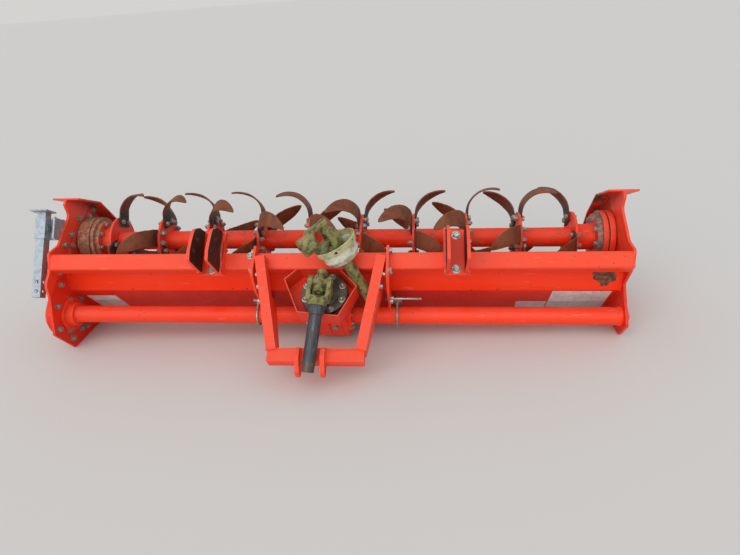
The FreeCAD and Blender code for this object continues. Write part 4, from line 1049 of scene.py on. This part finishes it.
# Turned forms: distance and radius
FORK_EAR = ((0, 17.5), (1.6, 19.8), (16.6, 20.2), (19.4, 18.6))
EAR_START = 27.2                # from the cross
BEARING_CAP = ((0, 11), (18, 11), (19.2, 12.9), (43.0, 12.95), (43.6, 12.2), (44.6, 12.2), (45.0, 11.4),
               (44.8, 8.6), (43.2, 8.0), (42.8, 0.8))
CROSS_MIDDLE = (-1.45, -1.1, -0.7, -0.35, 0, 0.35, 0.7, 1.1, 1.45)  # angles along its ball
GREASE_NIPPLE = ((0, 5), (9, 5), (9.4, 3.4), (13, 3.0), (14, 3.8), (15.5, 3.8), (16.6, 2.2))
LOCK_BOSS = ((0, 12), (17, 12), (17.6, 10))
SPLINE_RADII = (17.6, 15.4)     # of the socket's grooves and teeth


def fork_forms(bm, centre, toward, across, hub_length):
    """Forms of a joint's fork: two arms with round ends, the root that joins them, and the hub behind."""
    side = toward.cross(across).normalized()
    hub = ((0, 35.5), (2, 37.4), (5, 37.6), (hub_length - 10, 36.6), (hub_length - 2, 37.8),
           (hub_length + 2, 37.8))
    turned_form(bm, centre - toward * YOKE_REACH - toward * hub_length, toward, hub, 40)
    skin(bm, [oval(bm, centre - toward * back, across, side, wide, deep, power=power)
              for back, wide, deep, power in FORK_ROOT])
    for sign in (-1, 1):
        skin(bm, [oval(bm, centre - toward * back + across * (sign * off), across, side, wide, deep,
                       count=20, power=power) for back, off, wide, deep, power in FORK_ARM])
        turned_form(bm, centre + across * (sign * EAR_START), across * sign, FORK_EAR, 36)


def fork_bores(bm, centre, across):
    """Cutter for the bores through both of a fork's ears."""
    radius = TRUNNION_R + 0.2
    turned_form(bm, centre - across * 60, across, ((0, radius), (120, radius)), 40)


def cross_forms(bm, centre, first, second):
    """Cross of a joint: bearing caps with a dished face and a snap ring, and a grease nipple."""
    for axis in (first, second):
        for sign in (-1, 1):
            turned_form(bm, centre, axis * sign, BEARING_CAP, 32)
    skin(bm, [ring(bm, centre + first * (18 * math.sin(a)), second, first.cross(second),
                   18.5 * math.cos(a) + 1, 28) for a in CROSS_MIDDLE])
    out = (first + second).normalized()
    turned_form(bm, centre + out * 14, out, GREASE_NIPPLE, 12)


class TILLER_OT_joint_castings(bpy.types.Operator):
    """Forks and crosses of both universal joints as castings with bearing caps"""

    bl_idname = "tiller.joint_castings"
    bl_label = "Joint castings"

    def execute(self, context):
        forks = (("inner_yoke", "machine", JOINT, AHEAD, INNER_FORK, YOKE_HUB),
                 ("swing_yoke", "half_shaft", JOINT, -SHAFT, SWING_FORK, YOKE_HUB),
                 ("loose_fork", "machine", LOOSE_JOINT, -LOOSE, LOOSE_SIDE, YOKE_HUB),
                 ("loose_end_fork", "machine", LOOSE_JOINT, -LOOSE_OUT, LOOSE, SOCKET_HUB))
        for name, body, centre, toward, across, hub in forks:
            forms, bores = bmesh.new(), bmesh.new()
            fork_forms(forms, centre, toward, across, hub)
            fork_bores(bores, centre, across)
            if hub == SOCKET_HUB:
                # lock pin's boss, and six splines in the socket
                side = toward.cross(across).normalized()
                boss = centre - toward * (YOKE_REACH + 30)
                turned_form(forms, boss + side * 20, side, LOCK_BOSS, 24)
                first, second = square_to(toward)
                radii = [SPLINE_RADII[i % 6 >= 3] for i in range(36)]
                skin(bores, [ring(bores, centre - toward * back, first, second, radii, 36)
                             for back in (YOKE_REACH + hub + 8, YOKE_REACH - 14)])
            carved("cast_" + name, forms, bores, "olive_paint", body, (name,), voxel=1.7, calm=4)
        for name, centre, first, second in (("joint_cross", JOINT, INNER_FORK, SWING_FORK),
                                            ("loose_cross", LOOSE_JOINT, LOOSE, LOOSE_SIDE)):
            bm = bmesh.new()
            cross_forms(bm, centre, first, second)
            piece("capped_" + name, bm, "olive_paint", "machine", (name,))
        return {"FINISHED"}


def drawn_tube(bm, start, end, outer, inner, ridge):
    """Drawn profile tube: round inside, with a ridge along each of two sides and broken end edges."""
    along = (end - start).normalized()
    first, second = square_to(along)
    count, edge = 48, 0.8
    radii = [outer - ridge + ridge * max(0.0, math.cos(2 * math.pi * i / count * 2)) ** 6
             for i in range(count)]
    less = [r - edge for r in radii]
    far = (end - start).length
    rows = ((edge, radii), (0, less), (0, inner), (far, inner), (far, less), (far - edge, radii))
    skin(bm, [ring(bm, start + along * at, first, second, radius, count) for at, radius in rows], closed=True)


# Collar on the half shaft, where it enters its fork: distance along and radius
COLLAR_PROFILE = ((0, 24), (0, 34), (1.5, 35.5), (6, 35.5), (8, 34), (20, 31.5), (34, 27), (35.5, 24))
HALF_SHAFT = (25.0, 20.0, 250.0)    # outer and inner radius, and length
LOOSE_TUBE = (23.8, 19.8)


class TILLER_OT_shaft_tubes(bpy.types.Operator):
    """Profile tubes of the driveline, with the collar where the half shaft enters its fork"""

    bl_idname = "tiller.shaft_tubes"
    bl_label = "Shaft tubes"

    def execute(self, context):
        reach = YOKE_REACH + YOKE_HUB
        bm = bmesh.new()
        start = JOINT + SHAFT * reach
        outer, inner, long = HALF_SHAFT
        drawn_tube(bm, start, start + SHAFT * long, outer, inner, 1.8)
        turned_form(bm, start + SHAFT * 0.4, SHAFT, COLLAR_PROFILE, 36, hollow=True)
        piece("half_shaft_tube", bm, "black_tube", "half_shaft", ("half_shaft",))
        bm = bmesh.new()
        drawn_tube(bm, LOOSE_JOINT + LOOSE * reach, LOOSE_END, *LOOSE_TUBE, 1.6)
        piece("loose_profile_tube", bm, "olive_paint", "machine", ("loose_tube",))
        return {"FINISHED"}


# Bell's outside from its rim to its end, then its inside back to the rim: distance along and radius
BELL_PROFILE = ((0, 86.6), (1.4, 88), (4.4, 88), (6, 86.2), (22.6, 84.3), (25, 82.6), (26.4, 78.4), (28, 76.8),
                (48, 72.3), (51, 72.6), (57, 73.8), (60.5, 73.4), (63.5, 71.6), (81.6, 59.4), (83.6, 57.4),
                (84, 54), (84, 24.4), (81, 24.4), (81, 54), (78.6, 57.2), (60, 70.2), (56, 70.8), (50, 69.2),
                (28.8, 73.7), (26, 76), (23.6, 80.4), (4.4, 84.6), (0, 85))
BELL_HOLES = (6, 6.5, 15.0)     # how many, their radius and how far from the rim


class TILLER_OT_guard_bell(bpy.types.Operator):
    """Moulded guard bell with its rolled rim, step and holes"""

    bl_idname = "tiller.guard_bell"
    bl_label = "Guard bell"

    def execute(self, context):
        bm, holes = bmesh.new(), bmesh.new()
        turned_form(bm, BELL, LOOSE, BELL_PROFILE, 72, hollow=True)
        first, second = square_to(LOOSE)
        count, radius, far = BELL_HOLES
        for i in range(count):
            angle = math.pi / 3 * i + 0.35
            out = first * math.cos(angle) + second * math.sin(angle)
            turned_form(holes, BELL + LOOSE * far + out * 66, out, ((0, radius), (30, radius)), 20)
        carved("moulded_bell", bm, holes, "cream_plastic", "machine", ("guard_bell",), smooth=30)
        return {"FINISHED"}


# Turned covers: distance out and radius
REAR_COVER = ((0, 57), (9, 57), (11, 55), (11, 36), (16, 32), (17, 28))
NECK_RING = ((0, 64), (8, 64), (9, 63), (9, 48), (12, 46))
GEARBOX_ENDS = (-110.0, 94.0)   # y of its rear and front face
GEARBOX_TOP = 71.0              # above the shafts
FLANGE_OUT = 92.0               # from the gearbox's middle to a side flange's outer face
RIB_OFFSETS = (-50, 0, 50)


class TILLER_OT_gearbox_fittings(bpy.types.Operator):
    """Flange bolts, rear cover, neck ring, plugs and ribs of the gearbox"""

    bl_idname = "tiller.gearbox_fittings"
    bl_label = "Gearbox fittings"

    def execute(self, context):
        bolts, cast = bmesh.new(), bmesh.new()
        x, (y, z, _) = INPUT.x, TUBE
        rear, front = GEARBOX_ENDS
        across = sizes().case_bolt * 1000
        for i in range(8):
            angle = math.radians(22.5 + 45 * i)
            c, s = math.cos(angle), math.sin(angle)
            for side in (-1, 1):
                hex_bolt(bolts, (x + side * FLANGE_OUT, y + 52 * c, z + 52 * s), (side, 0, 0), across * 0.8,
                         phase=angle)
            hex_bolt(bolts, (x + 44 * c, rear - 11, z + 44 * s), (0, -1, 0), across * 0.7, phase=angle)
            hex_bolt(bolts, (x + 56 * c, front + 9, z + 56 * s), (0, 1, 0), across * 0.6, washer=False,
                     phase=angle)
        turned_form(cast, (x, rear, z), (0, -1, 0), REAR_COVER, 48)
        turned_form(cast, (x, front, z), (0, 1, 0), NECK_RING, 48)
        # filler plug on top and level plug on the side
        hex_bolt(bolts, (x + 30, 10, z + 72), (0, 0, 1), 22, phase=0.3)
        hex_bolt(bolts, (x - 78, 30, z - 30), (-1, 0, 0), 17, phase=0.1)
        top = z + GEARBOX_TOP
        for off in RIB_OFFSETS:
            low, high = x + off - 4, x + off + 4
            rib = ((low, -84), (high, -84), (high, 70), (low, 70))
            slab(cast, [(*spot, top) for spot in rib], (0, 0, 1), 7, sink=3)
        soften(piece("gearbox_castings", cast, "red_paint", "machine"), 0.0012)
        piece("gearbox_bolts", bolts, "dull_bolt", "machine")
        return {"FINISHED"}


# Turned covers at the ends of the machine: distance out and radius
CASE_TOP_COVER = ((0, 44), (5, 44), (6, 42), (6, 30), (9, 26))
CASE_FOOT_COVER = ((0, 58), (6, 58), (7.5, 56), (7.5, 40), (11, 35))
BEARING_HOUSING = ((0, 78), (9, 78), (10, 77), (10, 54), (13, 51), (24, 47), (27, 43), (28, 30))
TUBE_CAP = ((0, 50), (5, 50), (6, 49))
CASE_RIM_T = 9.0                # the case's flange on the plate
HOUSING_BOLTS = (6, 66.0, 10.0)     # how many, their ring's radius and how far out
# Plugs on the case: y, z and size across flats
CASE_PLUGS = ((-8, 96, 24), (-46, 250, 19))


class TILLER_OT_case_fittings(bpy.types.Operator):
    """Bolted flange and plugs of the gear case, and the bearing housing at the other end"""

    bl_idname = "tiller.case_fittings"
    bl_label = "Gear case fittings"

    def execute(self, context):
        metal, bolts = bmesh.new(), bmesh.new()
        rim_x = CASE_X[1] - CASE_RIM_T
        plate_form(metal, tangent_hull(11.0), rim_x, CASE_X[1] - 0.2)
        across = sizes().case_bolt * 1000
        for i, (y, z) in enumerate(tangent_hull(2.0)):
            if i % 2 == 0:
                hex_bolt(bolts, (rim_x, y, z), (-1, 0, 0), across * 0.85, phase=0.4 * i)
        (y0, z0, _), (y1, z1, _) = CASE
        for share in (0.35, 0.65):
            for way in (-1, 1):
                y, z, radius = (a + (b - a) * share for a, b in zip(*CASE))
                hex_bolt(bolts, (rim_x, y + way * (radius + 2.0), z), (-1, 0, 0), across * 0.85, phase=share)
        for y, z, size in CASE_PLUGS:
            hex_bolt(bolts, (CASE_X[0], y, z), (-1, 0, 0), size)
        turned_form(metal, (CASE_X[0] + 1, y1, z1), (-1, 0, 0), CASE_TOP_COVER, 40)
        turned_form(metal, (CASE_X[0] + 1, y0, z0), (-1, 0, 0), CASE_FOOT_COVER, 48)
        outer = HALF_WIDTH + PLATE_T
        turned_form(metal, (outer - 0.2, 0, 0), (1, 0, 0), BEARING_HOUSING, 48)
        turned_form(metal, (outer - 0.2, TUBE[0], TUBE[1]), (1, 0, 0), TUBE_CAP, 40)
        count, radius, out = HOUSING_BOLTS
        for i in range(count):
            angle = math.radians(60 * i)
            spot = (outer + out, radius * math.cos(angle), radius * math.sin(angle))
            hex_bolt(bolts, spot, (1, 0, 0), across, phase=angle)
        hex_bolt(bolts, (outer + 28, 0, 0), (1, 0, 0), 14)
        hex_bolt(bolts, (outer + 6, TUBE[0], TUBE[1]), (1, 0, 0), 24)
        soften(piece("case_castings", metal, "red_paint", "machine"), 0.0012)
        piece("case_bolts", bolts, "dull_bolt", "machine")
        return {"FINISHED"}


# Corners of a square, in turn; and y and z of the run of weld along a skid
SQUARE = ((-1, -1), (1, -1), (1, 1), (-1, 1))
SKID_WELD = ((-170, -143), (-56, -163), (88, -151), (226, -69))


class TILLER_OT_frame_welds(bpy.types.Operator):
    """Weld beads where the beam, mast, lugs, brackets, skids and the tube's collar meet"""

    bl_idname = "tiller.frame_welds"
    bl_label = "Frame welds"

    def execute(self, context):
        dice = random.Random(23)
        bm = bmesh.new()
        half = BEAM[2]
        short = half - 5
        corners = [on_beam(out, along) for out, along in ((half, short), (half, -short), (-short, -half),
                                                         (-half, -short), (-half, short), (-short, half))]
        for x in (-HALF_WIDTH, HALF_WIDTH):
            for (y0, z0), (y1, z1) in zip(corners, corners[1:] + corners[:1]):
                weld(bm, (x, y0, z0), (x, y1, z1), dice)
            (ya, za), (yb, zb), (yc, zc) = HOOD
            weld(bm, (x, ya, za), (x, yb, zb), dice)
            weld(bm, (x, yb, zb), (x, yc, zc), dice)
        # hood along the beam, and the brackets' base plates on it
        weld(bm, (-HALF_WIDTH, 124, 199), (HALF_WIDTH, 124, 199), dice)
        for x in HITCH_X:
            weld(bm, (x - 50, *on_beam(35.5, 34.5)), (x + 50, *on_beam(35.5, 34.5)), dice)
            for way in (-1, 1):
                weld(bm, (x + way * 50.5, *on_beam(35.5, -34)), (x + way * 50.5, *on_beam(35.5, 34)), dice)
                weld(bm, (x + way * 29.5, *on_beam(47.5, -105)), (x + way * 29.5, *on_beam(47.5, 54)), dice)
        # legs into the crossbar, the lugs on it and the stiffening plates
        for side in (-1, 1):
            foot, top, along, width, deep = leg_line(side)
            joint = top - along * (CROSSBAR_HALF + 0.5)
            w, d = LEG_HALF
            ends = [joint + width * (a * w) + deep * (b * d) for a, b in SQUARE]
            for start, end in zip(ends, ends[1:] + ends[:1]):
                weld(bm, start, end, dice)
            base = foot - along * 10
            for a in (-1, 1):
                edge = base + width * (a * w)
                weld(bm, edge + deep * d * 0.9, edge - deep * d * 0.9, dice)
            lug = MAST_X - 16 + side * 40
            for x in (lug, lug + side * 16):
                weld(bm, (x, 153.5, 594), (x, 153.5, 642), dice)
                weld(bm, (x, 152, 645.5), (x, 106, 645.5), dice)
            behind = -deep if deep.y > 0 else deep
            corner = width * (w - 8.5) + behind * (d + 0.3)
            weld(bm, foot.lerp(top, 0.33) + corner, foot.lerp(top, 0.9) + corner, dice)
        # skids under the plates, and the tube's collar
        for side in (-1, 1):
            for offset in (-1, PLATE_T + 1):
                x = side * (HALF_WIDTH + offset)
                for (y0, z0), (y1, z1) in zip(SKID_WELD, SKID_WELD[1:]):
                    weld(bm, (x, y0, z0), (x, y1, z1), dice)
        weld_round(bm, (-HALF_WIDTH + 12.5, TUBE[0], TUBE[1]), (1, 0, 0), 52.5, dice)
        weld_round(bm, (-HALF_WIDTH + 38.5, TUBE[0], TUBE[1]), (1, 0, 0), 37.5, dice)
        weld_round(bm, (HALF_WIDTH - 12.5, TUBE[0], TUBE[1]), (1, 0, 0), 37.5, dice)
        piece("frame_welds", bm, "red_paint", "machine", smooth=60)
        return {"FINISHED"}


CLAMP_OUT = 25.0                # from a mast plate to its clamp
CLAMP_HALF = 42.3               # from the tube's middle to a clamp's leg
ROD = (52, 330)                 # y and z of the rod beside the right clamp


class TILLER_OT_tube_clamp_fittings(bpy.types.Operator):
    """Nuts of the bent clamps over the round tube, and the loose rod beside the right one"""

    bl_idname = "tiller.tube_clamp_fittings"
    bl_label = "Tube clamp fittings"

    def execute(self, context):
        bm = bmesh.new()
        for side, face in MAST_PLATE_X.items():
            for sign in (-1, 1):
                x, y = face + side * CLAMP_OUT, TUBE[0] + sign * CLAMP_HALF
                hex_bolt(bm, (x, y, TUBE[1] - 48), (0, 0, -1), 15, phase=0.4)
                hex_bolt(bm, (x, y, TUBE[1] - 37), (0, 0, 1), 15, washer=False, phase=0.2)
        y, z = ROD
        swept(bm, [(x, y, z) for x in (249, 262, 374, 377)], [5.0, 5.0, 5.0, 3.5], 14)
        hex_bolt(bm, (MAST_PLATE_X[1], y, z), (1, 0, 0), 20)
        # one bolt on the beam beside the left mast plate
        hex_bolt(bm, (-318.0, *on_beam(BEAM[2], -22.0)), BEAM_OUT, 19)
        piece("clamp_fittings", bm, "zinc_steel", "machine")
        return {"FINISHED"}


STAND_FOOT = Vector((-1262.0, 240.0, 8.0))
STAND_LEAN = math.radians(23)
STAND_UP = Vector((0.0, -math.sin(STAND_LEAN), math.cos(STAND_LEAN)))
PIN_AT = 72.0                   # up the stand
PIN_ENDS = ((-29.0, -20.6), (20.6, 30.0))   # along X; between them the leg is free to slide
PIN_HEAD = ((0, 10), (4, 10), (5, 9))
PAD_FACE = 58.0                 # from the stand's middle to the pad on the side plate
PAD_BOLTS = ((34.0, -8.0), (34.0, 48.0), (100.0, -8.0), (100.0, 48.0))      # up the stand and forward


class TILLER_OT_stand_fittings(bpy.types.Operator):
    """Pin, clip and bolts of the parking stand"""

    bl_idname = "tiller.stand_fittings"
    bl_label = "Stand fittings"

    def execute(self, context):
        side = Vector((1, 0, 0))
        deep = STAND_UP.cross(side)
        bm = bmesh.new()
        pin = STAND_FOOT + STAND_UP * PIN_AT
        for start, end in PIN_ENDS:
            swept(bm, (pin + side * start, pin + side * end), 6.0, 14)
        turned_form(bm, pin - side * 26, -side, PIN_HEAD, 18)
        clip = [pin + side * 27 + deep * (14 * math.cos(a)) + STAND_UP * (14 * math.sin(a))
                for a in [math.pi * 2 * i / 16 for i in range(16)]]
        swept(bm, clip, 1.8, 8, closed=True)
        for up, off in PAD_BOLTS:
            hex_bolt(bm, STAND_FOOT + STAND_UP * up + side * PAD_FACE - deep * off, -side, 17, phase=up)
        piece("stand_pin", bm, "dull_bolt", "machine")
        return {"FINISHED"}


GATE_LEAN = math.radians(33.6)
GATE_DOWN = Vector((0, -math.sin(GATE_LEAN), -math.cos(GATE_LEAN)))
GATE_OUT = Vector((0, -math.cos(GATE_LEAN), math.sin(GATE_LEAN)))
GATE_FACE = GATE_OUT * 304.0
HINGE = Vector((0, -203, 237))
RIBS = (-900, -540, -180, 180, 540, 900)        # x of the tailgate's pressed ribs
RIB_PROFILE = ((60, 0.5), (72, 6.5), (90, 8.0), (290, 8.0), (308, 6.5), (320, 0.5))     # down and height
RIB_HALF = 18.0
LUG_PAIRS = (-300, 300)
LUG_DOWN = 200.0                # from the hinge to the adjuster lugs
HINGE_END = 1162.0


class TILLER_OT_tailgate_fittings(bpy.types.Operator):
    """Pressed ribs, adjuster lugs and bolts on the tailgate, and the split pins of its hinge"""

    bl_idname = "tiller.tailgate_fittings"
    bl_label = "Tailgate fittings"

    def execute(self, context):
        ribs, bolts, clips = bmesh.new(), bmesh.new(), bmesh.new()
        side = Vector((1, 0, 0))
        slope = HINGE - GATE_OUT * HINGE.dot(GATE_OUT) + GATE_FACE
        for x in RIBS:
            line = slope + side * x
            skin(ribs, [oval(ribs, line + GATE_DOWN * at, side, GATE_OUT, RIB_HALF, height, count=20, power=2.4)
                        for at, height in RIB_PROFILE])
        for x in LUG_PAIRS:
            middle = slope + side * x + GATE_DOWN * LUG_DOWN
            for way in (-1, 1):
                foot = middle + side * (way * 22)
                tip = foot + GATE_OUT * 34
                slab(ribs, (foot - GATE_DOWN * 22, foot + GATE_DOWN * 22, tip + GATE_DOWN * 16,
                            tip - GATE_DOWN * 16), side, 6)
            hex_bolt(bolts, middle + side * 28.2 + GATE_OUT * 20, side, 17)
            hex_bolt(bolts, middle - side * 22.2 + GATE_OUT * 20, -side, 17)
        soften(piece("tailgate_ribs", ribs, "red_paint", "tailgate"), 0.001)
        piece("tailgate_bolts", bolts, "dull_bolt", "tailgate")
        for way in (-1, 1):
            spot = HINGE + side * (way * HINGE_END)
            turned_form(clips, spot + side * (way * -3.5), side * way, ((0, 12), (2.4, 12)), 24)
            swept(clips, (spot - GATE_OUT * 13, spot + GATE_OUT * 15), 1.9, 8)
            swept(clips, (spot + GATE_OUT * 15, spot + GATE_OUT * 17 + GATE_DOWN * 4), 1.7, 8)
        piece("hinge_clips", clips, "zinc_steel", "machine")
        return {"FINISHED"}


# Labels on the deck: x of both sides, y of the front and the rear edge
DECK_LABELS = ((918, 1156, 2, -180), (786, 914, -112, -182), (-1150, -1012, -50, -180))
LABEL_SLANT = 4                 # how far their rear corners stand to the right
# Labels on the gear case: y and z of the middle and both half sizes
CASE_LABELS = ((-20, 180, 42, 26), (60, 6, 20, 16))
LEG_LABEL = (0.46, 24, 66, 19)  # share of the right leg, how far behind, and both half sizes
LABEL_T = 0.4


class TILLER_OT_blank_labels(bpy.types.Operator):
    """Blank labels on the deck, the mast and the gear case"""

    bl_idname = "tiller.blank_labels"
    bl_label = "Blank labels"

    def execute(self, context):
        bm = bmesh.new()
        (_, _), (bend_y, bend_z), (rear_y, rear_z) = HOOD
        deck_out = Vector((0, rear_z - bend_z, bend_y - rear_y))
        for low, high, front, back in DECK_LABELS:
            corners = ((low, front), (high, front), (high + LABEL_SLANT, back), (low + LABEL_SLANT, back))
            slab(bm, [(x, y, deck_z(y)) for x, y in corners], deck_out, LABEL_T)
        foot, top, along, width, deep = leg_line(1)
        share, off, half_long, half_wide = LEG_LABEL
        behind = -deep if deep.y > 0 else deep
        middle = foot.lerp(top, share) + width * LEG_HALF[0] + behind * off
        slab(bm, [middle + along * (a * half_long) + behind * (b * half_wide)
                  for a, b in ((-1, -1), (-1, 1), (1, 1), (1, -1))], width, LABEL_T)
        for y, z, w, h in CASE_LABELS:
            slab(bm, [(CASE_X[0], y + a * w, z + b * h) for a, b in SQUARE], (-1, 0, 0), LABEL_T)
        piece("blank_labels", bm, "label", "machine")
        return {"FINISHED"}


class TILLER_OT_stage(bpy.types.Operator):
    """Pale floor, soft light and the camera at the photograph's angle"""

    bl_idname = "tiller.stage"
    bl_label = "Stage"

    def execute(self, context):
        scene = context.scene
        scene.view_settings.view_transform = "Standard"
        self.floor()
        # one wide lamp, soft like light through thin cloud, from in front and a little left
        lamp = bpy.data.lights.new("overcast_light", "SUN")
        lamp.energy = 1.45
        lamp.angle = math.radians(70)
        lamp.color = (1.0, 0.985, 0.965)
        light = bpy.data.objects.new("overcast_light", lamp)
        light.rotation_euler = Vector((0.28, 0.90, -0.66)).to_track_quat("-Z", "Y").to_euler()
        scene.collection.objects.link(light)
        self.sky(scene)
        camera = bpy.data.cameras.new("photo_angle")
        camera.lens = 27.05
        camera.sensor_width = 36.0
        camera.clip_end = 1000.0
        eye = bpy.data.objects.new("photo_angle", camera)
        eye.location = AXIS + Vector((0.40449, -2.30053, 0.98350))
        eye.rotation_euler = [math.radians(a) for a in (62.826853, 4.123003, 4.674759)]
        scene.collection.objects.link(eye)
        scene.camera = eye
        return {"FINISHED"}

    def floor(self):
        """Wide round floor, level with the ground."""
        bm = bmesh.new()
        turned_form(bm, (0, 0, -0.02), (0, 0, 1), ((0.0, 420.0), (0.02, 420.0)), 128)
        mesh = bpy.data.meshes.new("studio_floor")
        bm.to_mesh(mesh)
        bm.free()
        finish = bpy.data.materials.new("matt_studio_floor")
        finish.use_nodes = True
        tree = finish.node_tree
        shader = tree.nodes["Principled BSDF"]
        shader.inputs["Base Color"].default_value = rgba(colours().floor)
        shader.inputs["Roughness"].default_value = 0.9
        mesh.materials.append(finish)
        floor = bpy.data.objects.new("studio_floor", mesh)
        bpy.context.scene.collection.objects.link(floor)

    def sky(self, scene):
        """Even sky; the eye and mirrors see it as plain and pale as the floor."""
        world = bpy.data.worlds.new("soft_sky")
        world.use_nodes = True
        scene.world = world
        tree = world.node_tree
        rays = add(tree, "ShaderNodeLightPath").outputs
        seen = rays["Is Camera Ray"]
        for ray in ("Is Glossy Ray", "Is Transmission Ray"):
            seen = add(tree, "ShaderNodeMath", {0: seen, 1: rays[ray]}, operation="MAXIMUM").outputs[0]
        tone = add(tree, "ShaderNodeMix", {0: seen, 6: (0.62, 0.63, 0.65, 1.0), 7: (0.66, 0.65, 0.63, 1.0)},
                   data_type="RGBA").outputs[2]
        tree.links.new(tone, tree.nodes["Background"].inputs[0])


OPERATORS = (TILLER_OT_frame_finishes, TILLER_OT_plate_bolts, TILLER_OT_rotor_blades, TILLER_OT_rotor_hubs,
             TILLER_OT_friction_clutch, TILLER_OT_joint_castings, TILLER_OT_shaft_tubes, TILLER_OT_guard_bell,
             TILLER_OT_gearbox_fittings, TILLER_OT_case_fittings, TILLER_OT_frame_welds,
             TILLER_OT_tube_clamp_fittings, TILLER_OT_stand_fittings, TILLER_OT_tailgate_fittings,
             TILLER_OT_blank_labels, TILLER_OT_stage)


class TILLER_PT_panel(bpy.types.Panel):
    """Lists the tiller's pieces"""

    bl_idname = "TILLER_PT_panel"
    bl_label = "Tiller"
    bl_space_type = "VIEW_3D"
    bl_region_type = "UI"
    bl_category = "Tiller"

    def draw(self, context):
        for operator in OPERATORS:
            self.layout.operator(operator.bl_idname)
        for group in (context.scene.tiller_sizes, context.scene.tiller_colours):
            box = self.layout.box()
            for name in group.__annotations__:
                box.prop(group, name)


CLASSES = (TillerColours, TillerSizes, *OPERATORS, TILLER_PT_panel)


def register():
    for kind in CLASSES:
        bpy.utils.register_class(kind)
    bpy.types.Scene.tiller_colours = bpy.props.PointerProperty(type=TillerColours)
    bpy.types.Scene.tiller_sizes = bpy.props.PointerProperty(type=TillerSizes)


def unregister():
    del bpy.types.Scene.tiller_sizes
    del bpy.types.Scene.tiller_colours
    for kind in reversed(CLASSES):
        bpy.utils.unregister_class(kind)


def main():
    register()
    for operator in OPERATORS:
        group, name = operator.bl_idname.split(".")
        getattr(getattr(bpy.ops, group), name)()


if __name__ == "__main__":
    main()
